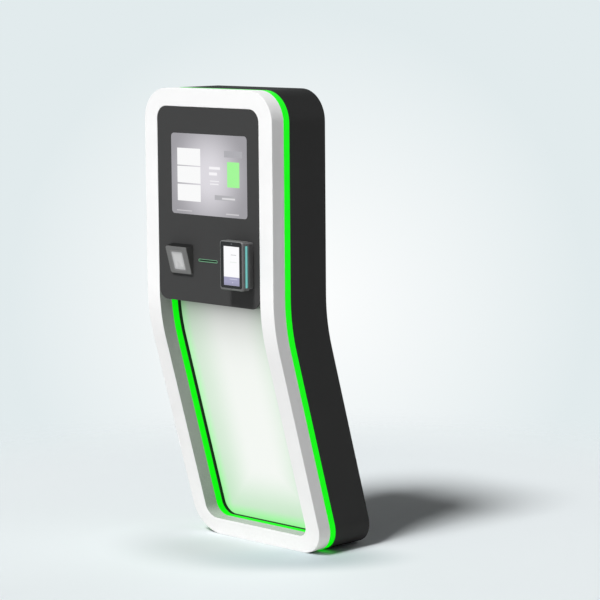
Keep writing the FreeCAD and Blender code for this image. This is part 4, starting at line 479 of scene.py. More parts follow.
# Painted shade on the frame's inner return, given as a darker coat: how far outwards it ends and
# how far it is whole, and the Y of the surface's normal where it starts and where it is whole.
RETURN_SHADE_REACH = 0.0065
RETURN_SHADE_WHOLE = RETURN_SHADE_REACH * 0.6
RETURN_SHADE_FACING = (-0.8, -0.4)

# Dark joint of the frame's folded strip: half its width, how far its shade reaches from its
# middle, and the share of the coat's colour left in it.
SEAM_HALF = 0.0007
SEAM_REACH = SEAM_HALF * 3
SEAM_SHADE = 0.3

# Light of the slot's rim in its throat.
THROAT_GLOW_REACH = 0.014
THROAT_STRENGTH = 0.8

# Spans of a light bar's depth in which it grows bright behind its front and dims again.
BAR_BRIGHTENS = (0.0, 0.2)
BAR_DIMS = (0.6, 0.8)

# What a coated surface is like.  Lengths are those of the grain, the slow clouds and the worn
# edges, and shares are how far each of these changes the colour.  The painted top shade is the
# share of the colour left on top faces.
POWDER_COAT = {
    "grain": 0.0011, "cloud": 0.16, "wear_reach": 0.002, "wear_patch": 0.02,
    "cloud_shade": 0.96, "grain_share": 0.35, "grain_lift": 0.012, "wear_share": 0.35,
    "wear_lift": 0.1, "wear_tone": None, "wear_polish": 0.12, "dust": 0.12,
    "dust_tone": (176, 174, 168), "top_share": 1.0, "gloss_mask": "Cloud Mask",
    "gloss_spread": 0.04, "specular": 0.5, "pebble": 0.05, "pebble_reach": 0.0004,
}
MOULDED = {
    **POWDER_COAT, "grain": 0.0006, "cloud": 0.05, "wear_reach": 0.0008, "wear_patch": 0.01,
    "cloud_shade": 0.94, "grain_share": 0.0, "wear_share": 0.3, "wear_lift": 0.12,
    "wear_polish": 0.2, "dust": 0.08, "dust_tone": (170, 168, 162), "gloss_mask": "Grain Mask",
    "gloss_spread": 0.05, "specular": 0.4, "pebble": 0.12, "pebble_reach": 0.0002,
}


def darker(colour, share):
    return (*(part * share for part in colour[:3]), 1.0)


def lighter(colour, share):
    return (*(part + (1 - part) * share for part in colour[:3]), 1.0)


def new_finish(name):
    """Wiring of a new finish, which is kept by its name."""
    material = FINISHES[name] = bpy.data.materials.new(name)
    wires = empty_tree(material)
    wires.end = wires.add("ShaderNodeBsdfPrincipled")
    wires.add("ShaderNodeOutputMaterial", {"Surface": wires.end.outputs["BSDF"]})
    return wires


def opening_distance(wires):
    """Distance outwards from the frame's opening, below zero inside it."""
    centre = (0.0, (OPENING_LOW + OPENING_HIGH) / 2)
    half = (OPENING_HALF, (OPENING_HIGH - OPENING_LOW) / 2)
    return block(wires, centre, half, OPENING_CORNER)["Distance"]


def paint_return_shade(wires, coat):
    """Painted shade on the frame's inner return, given as a darker coat, with the butt joint of
    its folded strip.
    """
    near = wires.ramp(opening_distance(wires), RETURN_SHADE_REACH, RETURN_SHADE_WHOLE)
    return_shade = wires.times(near, wires.ramp(wires.facing("Y"), *RETURN_SHADE_FACING))
    from_seam = wires.math("ADD", wires.along("X"), OPENING_HALF - OPENING_CORNER)
    seam = wires.ramp(wires.math("ABSOLUTE", from_seam), SEAM_HALF, SEAM_REACH, 1.0, 0.0)
    return_shade_coat = colours().return_shade_coat
    coat = wires.blend(return_shade, coat, return_shade_coat)
    return wires.tint(coat, seam, return_shade, darker(return_shade_coat, SEAM_SHADE))


def coated(kind, name, colour, roughness, return_shade=None, **changes):
    """Powder coat or moulded plastic: fine pebbles, uneven gloss, rubbed edges and dust, with
    painted shade on tops or on the frame's inner return where asked.
    """
    own = {**kind, **changes}
    wires = new_finish(name)
    texture = wires.use("fine_texture", Grain=own["grain"], Cloud=own["cloud"])
    wear = wires.use("edge_wear", Reach=own["wear_reach"], Patch=own["wear_patch"])["Mask"]
    dust_and_shade = wires.use("settled_dust")
    coat = wires.blend(texture["Cloud Mask"], darker(colour, own["cloud_shade"]), colour)
    # Painted shade: tops darker than the sides.
    if own["top_share"] < 1.0:
        coat = wires.blend(dust_and_shade["Up Mask"], coat, darker(colour, own["top_share"]))
    # Painted shade on the frame's inner return.
    if return_shade:
        coat = return_shade(wires, coat)
    grain_tone = lighter(colour, own["grain_lift"])
    coat = wires.tint(coat, texture["Grain Mask"], own["grain_share"], grain_tone)
    wear_tone = own["wear_tone"] or lighter(colour, own["wear_lift"])
    coat = wires.tint(coat, wear, own["wear_share"], wear_tone)
    coat = wires.tint(coat, dust_and_shade["Mask"], own["dust"], shade(*own["dust_tone"]))
    low, high = roughness - own["gloss_spread"], roughness + own["gloss_spread"]
    gloss = wires.between(texture[own["gloss_mask"]], low, high)
    polish = wires.times(wear, own["wear_polish"])
    wires.finish(
        Base_Color=coat, Roughness=wires.math("SUBTRACT", gloss, polish, clamp=True),
        Specular_IOR_Level=own["specular"],
        Normal=wires.bump(texture["Height"], own["pebble"], own["pebble_reach"]),
    )
    return wires


def bare_metal(name, colour, roughness, stretch=(1.0, 1.0, 0.04), scratch=0.08):
    """Bare metal: rolled grain, uneven gloss and a dull film."""
    wires = new_finish(name)
    grain = wires.use("brushed_grain", Stretch=stretch, Pitch=0.0008)
    cloud = wires.use("fine_texture", Grain=0.002, Cloud=0.04)["Cloud Mask"]
    wear = wires.use("edge_wear", Reach=0.0006, Patch=0.01)["Mask"]
    metal = wires.blend(grain["Streak Mask"], darker(colour, 0.84), colour)
    metal = wires.tint(metal, cloud, 0.3, darker(colour, 0.7))
    metal = wires.tint(metal, wear, 0.4, lighter(colour, 0.3))
    wires.finish(
        Base_Color=metal, Metallic=1.0, Normal=wires.bump(grain["Height"], scratch, 0.0003),
        Roughness=wires.between(cloud, roughness - 0.06, roughness + 0.08),
    )


def zinc_plate(name, colour, roughness):
    """Zinc-plated steel with its faint crystal flakes."""
    wires = new_finish(name)
    flakes = wires.add("ShaderNodeTexVoronoi", {"Vector": wires.place, "Scale": FLAKE_SCALE})
    parts = wires.add("ShaderNodeSeparateColor", {"Color": flakes.outputs["Color"]})
    flake = parts.outputs["Red"]
    texture = wires.use("fine_texture", Grain=0.0015, Cloud=0.06)
    metal = wires.blend(flake, darker(colour, 0.86), colour)
    metal = wires.tint(metal, texture["Cloud Mask"], 0.25, darker(colour, 0.72))
    wires.finish(
        Base_Color=metal, Metallic=1.0, Normal=wires.bump(texture["Height"], 0.06, 0.0003),
        Roughness=wires.between(flake, roughness - 0.07, roughness + 0.07),
    )


def light_guide(name, colour, strength, base_share=0.5):
    """Lit frosted acrylic, a little uneven in its light."""
    wires = new_finish(name)
    texture = wires.use("fine_texture", Grain=0.0007, Cloud=0.03)
    dark, pale = darker(colour, 0.4 * base_share), darker(colour, base_share)
    wires.finish(
        Base_Color=wires.blend(texture["Grain Mask"], dark, pale),
        Emission_Color=wires.blend(texture["Cloud Mask"], darker(colour, 0.95), colour),
        Emission_Strength=strength, Specular_IOR_Level=0.12,
        Roughness=wires.between(texture["Grain Mask"], 0.4, 0.55),
        Normal=wires.bump(texture["Height"], 0.05, 0.0002),
    )
    return wires


def lit_throat():
    """Black channel of the ticket slot, green where the lit rim shines into it."""
    wires = coated(MOULDED, "lit_throat", shade(30, 34, 31), 0.5, specular=0.2)
    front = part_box("ticket_throat")[0].y
    glow = wires.ramp(wires.along("Y"), front, front + THROAT_GLOW_REACH, 1.0, 0.0, smooth=True)
    glow_tone = wires.blend(glow, BLACK, shade(52, 92, 62))
    wires.finish(Emission_Color=glow_tone, Emission_Strength=THROAT_STRENGTH)


def light_bar():
    """Teal light bar, bright along its middle and dimmer towards its front and back edges."""
    teal = colours().teal_light
    wires = light_guide("teal_light_bar", teal, 0.85, 0.2)
    low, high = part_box("payment_light_bars")
    share = wires.ramp(wires.along("Y"), low.y, high.y)
    front = wires.ramp(share, *BAR_BRIGHTENS, smooth=True)
    back = wires.ramp(share, *BAR_DIMS, 1.0, 0.0, smooth=True)
    wires.finish(Emission_Color=wires.blend(wires.times(front, back), shade(66, 92, 92), teal))


def thermal_paper():
    """Roll of ticket paper: pale, with fine fibres."""
    wires = new_finish("ticket_paper")
    texture = wires.use("fine_texture", Grain=0.0008, Cloud=0.03)
    fibres = wires.noise(FIBRE_SCALE, 2.0)
    paper = wires.blend(texture["Cloud Mask"], shade(226, 225, 219), shade(240, 240, 236))
    paper = wires.blend(wires.ramp(fibres, *FIBRE_PATCHES, 0.0, 0.25), paper, shade(205, 203, 196))
    wires.finish(
        Base_Color=paper, Normal=wires.bump(fibres, 0.1, 0.0002),
        Roughness=wires.between(texture["Grain Mask"], 0.55, 0.7),
    )


# Lit recess panel

# Painted light on the recess panel: a narrow and a wide green glow along its edges, greener
# between two heights towards the foot, and a painted shadow under the control panel with its fall
# and start.
EDGE_GLOW_REACH = 0.05
SIDE_GLOW_START = 0.03
SIDE_GLOW_REACH = 0.19
FOOT_GLOW_HEIGHTS = (0.45, 0.08)
SHADE_FALL = 0.055
SHADE_START = 0.003
RECESS_STRENGTH = 0.885


def opal_panel():
    """Backlit opal sheet: pale in its middle, with a painted green glow along its edges and a
    painted shadow under the control panel.
    """
    wires = new_finish("opal_acrylic")
    own = colours()
    inward = wires.minus(INNER_GUIDE_WALL, opening_distance(wires))
    side_glow = wires.ramp(inward, SIDE_GLOW_START, SIDE_GLOW_REACH, 1.0, 0.0, smooth=True)
    edge_glow = wires.ramp(inward, 0.0, EDGE_GLOW_REACH, 1.0, 0.0, smooth=True)
    texture = wires.use("fine_texture", Grain=0.0009, Cloud=0.2)
    uneven = wires.between(texture["Cloud Mask"], 0.9, 1.0)
    height = wires.along("Z")
    low = wires.ramp(height, *FOOT_GLOW_HEIGHTS, smooth=True)
    side_tone = wires.blend(low, own.recess_side_glow, own.recess_foot_glow)
    edge_tone = wires.blend(low, own.recess_edge, own.recess_edge_low)
    light = wires.tint(own.recess_light, side_glow, uneven, side_tone)
    light = wires.tint(light, edge_glow, uneven, edge_tone)
    # Painted shadow under the control panel, fading downwards.
    below = wires.minus(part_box("control_panel")[0].z + SHADE_START, height)
    fall = wires.math("EXPONENT", wires.over(wires.math("MAXIMUM", below, 0.0), -SHADE_FALL))
    wires.finish(
        Emission_Color=wires.blend(fall, light, BLACK),
        Emission_Strength=RECESS_STRENGTH, Specular_IOR_Level=0.15,
        Base_Color=wires.blend(texture["Grain Mask"], shade(90, 92, 90), shade(96, 98, 96)),
        Roughness=wires.between(texture["Cloud Mask"], 0.42, 0.52),
        Normal=wires.bump(texture["Height"], 0.03, 0.0003),
    )


# Pictures on the screens.  A block is left, right, low and high edge, measured from the
# screen's lower left corner, then corner radius and softness, all in tenths of a millimetre,
# then tone.

BLOCK_UNIT = 0.0001

TOUCH_BLOCKS = [
    (275, 1330, 1518, 2045, 15, 6, (254, 254, 254)),
    (275, 1330, 972, 1486, 15, 6, (254, 254, 254)),
    (275, 1330, 410, 926, 15, 6, (254, 254, 254)),
    (2404, 3196, 1834, 2033, 10, 8, (176, 175, 180)),
    (2530, 3070, 926, 1698, 15, 8, (164, 252, 152)),
    (1722, 2215, 1439, 1520, 15, 18, (252, 250, 253)),
    (1719, 2077, 1258, 1348, 15, 18, (252, 250, 253)),
    (1760, 2164, 1065, 1095, 12, 16, (248, 246, 249)),
    (1758, 2140, 971, 1006, 12, 16, (248, 246, 249)),
    (1964, 2897, 512, 661, 10, 12, (180, 179, 183)),
    (2290, 2867, 541, 594, 20, 14, (226, 224, 227)),
    (229, 921, 92, 119, 8, 10, (208, 206, 209)),
    (2460, 3036, 82, 120, 8, 10, (208, 206, 209)),
]
TOUCH_EDGE_TONE = (160, 158, 163)
TOUCH_MIDDLE_TONE = (224, 221, 227)
TOUCH_MIDDLE_RADIUS = 0.02
TOUCH_FADE_REACH = 0.17
TOUCH_STRENGTH = 0.93

PAYMENT_BLOCKS = [
    (0, 700, 0, 255, 5, 12, (161, 159, 190)),
    (0, 700, 0, 60, 5, 40, (150, 148, 178)),
    (320, 560, 920, 942, 10, 10, (198, 200, 202)),
    (280, 580, 700, 722, 10, 14, (232, 238, 234)),
    (260, 600, 185, 200, 6, 8, (218, 220, 236)),
    (370, 410, 75, 105, 15, 8, (205, 204, 224)),
]
PAYMENT_STRENGTH = 0.96

# Dark edge of the payment device's display, round its page.
PAGE_SIDE_EDGE = 0.001
PAGE_TOP_EDGE = 0.002
PAGE_CORNER = 0.001
PAGE_SOFTNESS = 0.0004

# Code reader: its window's corners and the reach of the painted shade along its rim, and the
# painted highlight on the slope round the window.
WINDOW_CORNER = 0.005
WINDOW_SHADE_REACH = 0.012
SLOPE_REACH = 0.0055
SLOPE_FADE = 0.0015
SLOPE_HIGHLIGHT = 0.25


def lit_picture(wires, screen, background, blocks):
    """Picture made of soft rounded blocks over a screen's background."""
    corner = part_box(screen)[0]
    picture = background
    for *measures, block_tone in blocks:
        left, right, low, high, radius, softness = (step * BLOCK_UNIT for step in measures)
        centre = (corner.x + (left + right) / 2, corner.z + (low + high) / 2)
        half = ((right - left) / 2, (high - low) / 2)
        mask = block(wires, centre, half, min(radius, *half), softness)["Mask"]
        picture = wires.blend(mask, picture, shade(*block_tone))
    return picture


def smudges(wires, low, high):
    """Gloss of glass that fingers have touched: mostly clear, duller in patches."""
    film = wires.use("fine_texture", Grain=0.004, Cloud=0.035)
    return {
        "Roughness": wires.between(film["Cloud Mask"], low, high),
        "Normal": wires.bump(film["Height"], 0.01, 0.0002),
    }


def touch_glass():
    """Touch screen: a soft grey background with generic cards, a tile and bars."""
    wires = new_finish("screen_glass")
    disc = (TOUCH_MIDDLE_RADIUS, TOUCH_MIDDLE_RADIUS)
    centre = centre_and_half("touch_screen")[0]
    outwards = block(wires, centre, disc, TOUCH_MIDDLE_RADIUS)["Distance"]
    share = wires.ramp(outwards, 0.0, TOUCH_FADE_REACH, smooth=True)
    background = wires.blend(share, shade(*TOUCH_MIDDLE_TONE), shade(*TOUCH_EDGE_TONE))
    wires.finish(
        Emission_Color=lit_picture(wires, "touch_screen", background, TOUCH_BLOCKS),
        Emission_Strength=TOUCH_STRENGTH, Base_Color=shade(20, 20, 22), Specular_IOR_Level=0.2,
        **smudges(wires, 0.22, 0.36),
    )


def payment_picture():
    """Front glass of the payment device: a black border round its lit page."""
    wires = new_finish("black_glass")
    (centre_x, centre_z), (half_width, half_height) = centre_and_half("payment_display")
    centre = (centre_x, centre_z - PAGE_TOP_EDGE / 2)
    half = (half_width - PAGE_SIDE_EDGE, half_height - PAGE_TOP_EDGE / 2)
    page = block(wires, centre, half, PAGE_CORNER, PAGE_SOFTNESS)["Mask"]
    picture = lit_picture(wires, "payment_display", shade(253, 252, 254), PAYMENT_BLOCKS)
    wires.finish(
        Emission_Color=wires.blend(page, BLACK, picture), Emission_Strength=PAYMENT_STRENGTH,
        Base_Color=shade(31, 31, 32), Specular_IOR_Level=0.25, **smudges(wires, 0.12, 0.24),
    )


def window_distance(wires):
    """Distance outwards from the edge of the code reader's window."""
    return block(wires, *centre_and_half("scanner_window"), WINDOW_CORNER)["Distance"]


def reader_glass():
    """Pale coated window of the code reader, with painted shade along its rim."""
    wires = new_finish("reader_glass")
    # Painted shade: darker towards the window's rim.
    rim = wires.ramp(window_distance(wires), -WINDOW_SHADE_REACH, 0.0, smooth=True)
    wires.finish(
        Base_Color=wires.blend(rim, shade(203, 203, 203), shade(180, 180, 181)),
        Coat_Weight=0.4, Coat_Roughness=0.08, **smudges(wires, 0.25, 0.4),
    )


def reader_face():
    """Grey face of the code reader, with a painted highlight on the slope round its window."""
    grey = colours().reader_grey
    wires = coated(MOULDED, "reader_grey", grey, 0.5, specular=0.35)
    plain = wires.end.inputs["Base Color"].links[0].from_socket
    start, end = SLOPE_REACH - SLOPE_FADE, SLOPE_REACH
    # Painted highlight: paler on the slope round the window.
    slope = wires.ramp(window_distance(wires), start, end, SLOPE_HIGHLIGHT, 0.0, smooth=True)
    wires.finish(Base_Color=wires.blend(slope, plain, lighter(grey, SLOPE_HIGHLIGHT)))


def camera_lens():
    """Lens of the payment device's camera: grey glass under a clear coat."""
    wires = new_finish("camera_lens")
    cloud = wires.use("fine_texture", Grain=0.002, Cloud=0.01)["Cloud Mask"]
    wires.finish(
        Base_Color=wires.blend(cloud, shade(70, 71, 76), shade(88, 89, 96)), Coat_Weight=1.0,
        Coat_Roughness=0.03, **smudges(wires, 0.06, 0.14),
    )


def build_finishes():
    """Build every finish.  Most have the name of the record's slot that they are for."""
    own = colours()
    # The white coat takes painted shade on the frame's inner return.
    coated(
        POWDER_COAT, "white_powder_coat", own.white_coat, 0.5, paint_return_shade, specular=0.3,
        wear_tone=shade(228, 228, 227),
    )
    # The black coat's tops take painted shade.
    coated(
        POWDER_COAT, "black_powder_coat", own.black_coat, 0.75, specular=0.04, dust=0.01,
        top_share=0.3,
    )
    coated(POWDER_COAT, "black_coated_steel", darker(own.black_coat, 0.9), 0.6, specular=0.2)
    coated(
        POWDER_COAT, "graphite_powder_coat", own.graphite_coat, 0.66, specular=0.1, dust=0.02,
    )
    coated(POWDER_COAT, "grey_painted_sheet", shade(120, 121, 120), 0.6, specular=0.3)
    coated(POWDER_COAT, "primed_steel", shade(92, 94, 96), 0.7, specular=0.3, pebble=0.15)
    light_guide("green_light_guide", own.ring_light, 0.95, 0.12)
    light_guide("slot_light_guide", own.ticket_light, 0.8, 0.2)
    light_bar()
    lit_throat()
    # Its dark green is painted green light from the light guides on a black trim.
    coated(MOULDED, "recess_trim", shade(16, 42, 17), 0.6, specular=0.1, dust=0.01)
    # The reader's wedge takes painted shade on its top.
    coated(
        MOULDED, "reader_case", shade(86, 86, 85), 0.6, specular=0.1, dust=0.0, top_share=0.12,
    )
    light_guide("led_tape", shade(214, 236, 206), 0.5)
    opal_panel()
    touch_glass()
    payment_picture()
    camera_lens()
    reader_glass()
    bare_metal("raw_aluminium", shade(196, 198, 200), 0.38)
    bare_metal("equipment_aluminium", shade(186, 189, 192), 0.42, (0.04, 1.0, 1.0))
    bare_metal("ground_steel", shade(190, 192, 195), 0.24, (0.02, 1.0, 1.0))
    bare_metal("motor_steel", shade(168, 170, 172), 0.36)
    bare_metal("lock_chrome", shade(214, 215, 217), 0.16, scratch=0.02)
    zinc_plate("zinc_steel", shade(198, 200, 203), 0.4)
    coated(MOULDED, "black_plastic_trim", shade(48, 48, 48), 0.55, specular=0.2, dust=0.03)
    coated(MOULDED, "display_case", shade(44, 45, 47), 0.5)
    reader_face()
    coated(MOULDED, "engine_plastic", shade(58, 60, 64), 0.5)
    coated(MOULDED, "payment_case", own.payment_grey, 0.42)
    coated(MOULDED, "gear_nylon", shade(224, 221, 210), 0.45)
    coated(
        MOULDED, "soft_rubber", shade(38, 38, 39), 0.78, specular=0.25, grain=0.0009, pebble=0.2,
        dust=0.15,
    )
    thermal_paper()


# Nodes whose finish is not that of their slot.
OWN_FINISH = {
    "payment_camera": "camera_lens",
    "payment_display": "black_glass",
    "ticket_throat": "lit_throat",
    "scanner_housing": "reader_case",
    "recess_surround": "recess_trim",
}


def record_slot(name):
    """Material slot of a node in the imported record."""
    return frame["nodes"][name].material_slots[0].material.name.split(".")[0]


def finish_of(name):
    """Finish that a node, or the piece that stands for it, takes."""
    finish = OWN_FINISH.get(name, record_slot(name))
    if finish not in FINISHES:
        raise RuntimeError(f"{name} has no finish named {finish}")
    return FINISHES[finish]


def dress(*names):
    """Give carried-over nodes their finish."""
    for name in names:
        finish = finish_of(name)
        slot = frame["nodes"][name].material_slots[0]
        slot.link = "OBJECT"
        slot.material = finish


# Shapes

CORNER_STEPS = 16
ROUND_STEPS = 3
STRAIGHT_ROWS = 9
BEND_ROWS = 10
CORNER_CLEAR = 1.2
WELD_REACH = 1e-6
FLAT_ANGLE = math.radians(0.5)
ROUNDED_ANGLE = math.radians(40)
CREASE_ANGLE = math.radians(50)


def mesh_of(name, shape):
    """Mesh made of a finished shape."""
    mesh = bpy.data.meshes.new(name)
    shape.to_mesh(mesh)
    shape.free()
    return mesh


def add_object(name, data):
    """New object in the scene."""
    added = bpy.data.objects.new(name, data)
    bpy.context.scene.collection.objects.link(added)
    return added


def stand_for(name, shape, finishes=()):
    """Object of a finished shape that takes a node's place, on its body and with its finish."""
    bmesh.ops.recalc_face_normals(shape, faces=shape.faces)
    mesh = mesh_of(f"{name}.modelled", shape)
    mesh.shade_smooth()
    mesh.set_sharp_from_angle(angle=CREASE_ANGLE)
    for finish in finishes or (finish_of(name),):
        mesh.materials.append(finish)
    piece = add_object(mesh.name, mesh)
    shading = piece.modifiers.new("flat_faces", "WEIGHTED_NORMAL")
    shading.keep_sharp = True
    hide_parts(name)
    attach(piece, frame["nodes"][name]["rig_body"])
    record_slot(name)


def round_off(rounding, *names):
    """Stand in for nodes with pieces whose sharp edges have one of the panel's roundings."""
    width = getattr(sizes(), rounding)
    for name in names:
        shape = bmesh.new()
        shape.from_mesh(frame["nodes"][name].data)
        bmesh.ops.remove_doubles(shape, verts=shape.verts, dist=WELD_REACH)
        bmesh.ops.dissolve_limit(
            shape, angle_limit=FLAT_ANGLE, verts=shape.verts, edges=shape.edges,
        )
        sharp = [edge for edge in shape.edges if edge.calc_face_angle(0.0) > ROUNDED_ANGLE]
        bmesh.ops.bevel(
            shape, geom=sharp, offset=width, offset_type="OFFSET", segments=2, profile=0.5,
            affect="EDGES", clamp_overlap=False,
        )
        stand_for(name, shape)


def arc(centre, radius, start, steps):
    """Points of a quarter circle, from a start angle in degrees."""
    points = []
    for step in range(steps + 1):
        turn = math.radians(start + 90 * step / steps)
        points.append((centre[0] + radius * math.cos(turn), centre[1] + radius * math.sin(turn)))
    return points


def rounded_loop(half, low, high, radius, rows=()):
    """Rounded upright outline as points of X and Z, with cross rows up its sides."""
    right = arc((half - radius, low + radius), radius, -90, CORNER_STEPS)
    right += [(half, row) for row in rows]
    upper = arc((half - radius, high - radius), radius, 0, CORNER_STEPS)
    straight = high - low - 2 * radius > WELD_REACH
    right += upper if straight else upper[1:]
    return right + [(-x, z) for x, z in reversed(right)]


def spread(low, high, count):
    return [low + (high - low) * step / count for step in range(count)]


def cross_rows():
    """Heights of the casing's cross rows, closer together through the bend."""
    low = CASING_LOW + CASING_CORNER * CORNER_CLEAR
    high = CASING_HIGH - CASING_CORNER * CORNER_CLEAR
    return (
        spread(low, BEND_BOTTOM, STRAIGHT_ROWS) + spread(BEND_BOTTOM, BEND_TOP, BEND_ROWS)
        + spread(BEND_TOP, high, STRAIGHT_ROWS) + [high]
    )


# Half width, low end, high end, corner radius, and which way leads into the frame.
EDGES = {
    "outer": (CASING_HALF, CASING_LOW, CASING_HIGH, CASING_CORNER, 1),
    "opening": (OPENING_HALF, OPENING_LOW, OPENING_HIGH, OPENING_CORNER, -1),
}


def casing_loop(edge, inset, depth):
    """Loop round the casing at a depth, moved into the frame from its outer edge or opening."""
    half, low, high, corner, way = EDGES[edge]
    move = way * inset
    loop = rounded_loop(half - move, low + move, high - move, corner - move, cross_rows())
    return [(x, front_y(z) + depth, z) for x, z in loop]


def sweep(loops, marked=()):
    """Closed skin over a ring of loops.  The strips listed in marked take the second finish."""
    shape = bmesh.new()
    rings = [[shape.verts.new(point) for point in loop] for loop in loops]
    for strip, (near, far) in enumerate(zip(rings, rings[1:] + rings[:1])):
        for here, there, below, above in zip(near, far, near[1:] + near[:1], far[1:] + far[:1]):
            face = shape.faces.new((here, below, above, there))
            face.material_index = int(strip in marked)
    return shape


def model_front_frame():
    """Frame folded from sheet, with rounded front edges, open towards the casing."""
    rounding = sizes().frame_round
    corner = arc((rounding, rounding), rounding, 180, 2 * ROUND_STEPS)
    profile = [("outer", 0.0, FRAME_DEPTH)]
    profile += [("outer", inset, depth) for inset, depth in corner]
    profile += [("opening", inset, depth) for inset, depth in reversed(corner)]
    profile += [
        ("opening", 0.0, FRAME_DEPTH), ("opening", FRAME_SHEET, FRAME_DEPTH),
        ("opening", FRAME_SHEET, FRAME_SHEET), ("outer", FRAME_SHEET, FRAME_SHEET),
        ("outer", FRAME_SHEET, FRAME_DEPTH),
    ]
    stand_for("front_frame", sweep([casing_loop(*place) for place in profile]))


def model_light_guide(name, edge, wall):
    """Light guide: a strip of frosted acrylic on edge, following the frame."""
    rounding = sizes().guide_round
    inner, outer = GUIDE_GAP + rounding, GUIDE_GAP + wall - rounding
    front, back = FRAME_DEPTH + rounding, FRAME_DEPTH + GUIDE_DEPTH - rounding
    profile = arc((inner, front), rounding, 180, ROUND_STEPS)
    profile += arc((outer, front), rounding, 270, ROUND_STEPS)
    profile += arc((outer, back), rounding, 0, ROUND_STEPS)
    profile += arc((inner, back), rounding, 90, ROUND_STEPS)
    stand_for(name, sweep([casing_loop(edge, inset, depth) for inset, depth in profile]))


# Rim of the ticket slot, as insets from its outer edge and places behind its front face.
# None is its back face.
SLOT_PROFILE = (
    (0.0, None), (0.0, 0.0005), (0.0002, 0.0001), (0.0006, 0.0), (0.0059, 0.0), (0.0061, 0.0004),
    (0.0063, 0.0004), (0.0064, -0.0001), (0.0067, -0.0003), (0.0074, -0.0003), (0.0078, 0.0),
    (0.0079, 0.00075), (0.0025, 0.00075), (0.0025, None),
)
SLOT_LIT_STRIPS = (5, 6, 7, 8, 9, 10)


def model_slot_rim():
    """Rim of the ticket slot: a dark plate with a thin lit lip round the mouth."""
    low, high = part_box("slot_light_guide")
    (centre_x, centre_z), (half_width, half_height) = centre_and_half("slot_light_guide")
    loops = []
    for inset, behind in SLOT_PROFILE:
        y = high.y if behind is None else low.y + behind
        radius = half_height - inset
        outline = rounded_loop(half_width - inset, centre_z - radius, centre_z + radius, radius)
        loops.append([(centre_x + x, y, z) for x, z in outline])
    finishes = (FINISHES["graphite_powder_coat"], FINISHES["slot_light_guide"])
    stand_for("slot_light_guide", sweep(loops, SLOT_LIT_STRIPS), finishes)


# Operators for the pieces

class Undoable:
    """What every building step has."""

    bl_options = {"REGISTER", "UNDO"}


class TERMINAL_OT_front_frame(Undoable, Operator):
    """Model the white front frame"""

    bl_idname = "terminal.front_frame"
    bl_label = "Front frame"

    def execute(self, context):
        model_front_frame()
        return {"FINISHED"}


class TERMINAL_OT_light_ring(Undoable, Operator):
    """Model the green light guides, and finish their carrier and lamps"""

    bl_idname = "terminal.light_ring"
    bl_label = "Light ring"

    def execute(self, context):
        model_light_guide("outer_light_guide", "outer", OUTER_GUIDE_WALL)
        model_light_guide("inner_light_guide", "opening", INNER_GUIDE_WALL)
        dress("led_carrier", "led_strips")
        return {"FINISHED"}


class TERMINAL_OT_rear_shell(Undoable, Operator):
    """Round off the dark rear casing and its lower cover"""

    bl_idname = "terminal.rear_shell"
    bl_label = "Rear shell"

    def execute(self, context):
        round_off("sheet_round", "rear_shell", "rear_cover")
        return {"FINISHED"}


class TERMINAL_OT_recess(Undoable, Operator):
    """Round off the recess and finish the lamps behind it"""

    bl_idname = "terminal.recess"
    bl_label = "Lit recess"

    def execute(self, context):
        round_off("plastic_round", "recess_panel", "recess_surround")
        round_off("sheet_round", "recess_ceiling")
        dress("backlight_tray", "backlight_board")
        return {"FINISHED"}


class TERMINAL_OT_control_panel(Undoable, Operator):
    """Finish the control panel"""

    bl_idname = "terminal.control_panel"
    bl_label = "Control panel"

    def execute(self, context):
        dress("control_panel")
        return {"FINISHED"}


class TERMINAL_OT_touch_screen(Undoable, Operator):
    """Round off the touch screen and the display behind it"""

    bl_idname = "terminal.touch_screen"
    bl_label = "Touch screen"

    def execute(self, context):
        round_off("plastic_round", "touch_screen", "display_module")
        return {"FINISHED"}


class TERMINAL_OT_ticket_slot(Undoable, Operator):
    """Model the lit rim of the ticket slot, and finish its throat and flap"""

    bl_idname = "terminal.ticket_slot"
    bl_label = "Ticket slot"

    def execute(self, context):
        model_slot_rim()
        round_off("small_round", "ticket_throat")
        dress("ticket_flap")
        return {"FINISHED"}


class TERMINAL_OT_code_reader(Undoable, Operator):
    """Round off the code reader's wedge, face, window and camera"""

    bl_idname = "terminal.code_reader"
    bl_label = "Code reader"

    def execute(self, context):
        round_off(
            "plastic_round", "scanner_housing", "scanner_bezel", "scanner_window",
            "scan_engine",
        )
        return {"FINISHED"}


class TERMINAL_OT_payment_device(Undoable, Operator):
    """Round off the payment device and finish its page"""

    bl_idname = "terminal.payment_device"
    bl_label = "Payment device"

    def execute(self, context):
        round_off("plastic_round", "payment_housing", "payment_glass", "payment_light_bars")
        dress("payment_display", "payment_camera")
        return {"FINISHED"}


class TERMINAL_OT_printer(Undoable, Operator):
    """Round off the ticket printer and its shelf"""

    bl_idname = "terminal.printer"
    bl_label = "Ticket printer"

    def execute(self, context):
        round_off("sheet_round", "printer_shelf", "cutter_frame", "paper_roll", "printer_motor")
        round_off(
            "small_round", "printer_chassis", "platen_shaft", "platen_roller", "platen_gear",
            "motor_pinion", "thermal_head", "cutter_blade", "roll_spindle",
        )
        return {"FINISHED"}


class TERMINAL_OT_equipment(Undoable, Operator):
    """Round off the equipment plate and what is on it"""

    bl_idname = "terminal.equipment"
    bl_label = "Equipment"

    def execute(self, context):
        round_off(
            "sheet_round", "equipment_plate", "controller_box", "power_supply",
            "circuit_breaker", "breaker_toggle",
        )
        return {"FINISHED"}


class TERMINAL_OT_rear_door(Undoable, Operator):
    """Round off the rear door, its hinges and its lock"""

    bl_idname = "terminal.rear_door"
    bl_label = "Rear door"

    def execute(self, context):
        round_off("sheet_round", "rear_door", "door_gasket", "hinge_leaves", "lock_barrel")
        round_off("small_round", "door_hinge_leaves", "hinge_pins")
        dress("lock_cam")
        return {"FINISHED"}


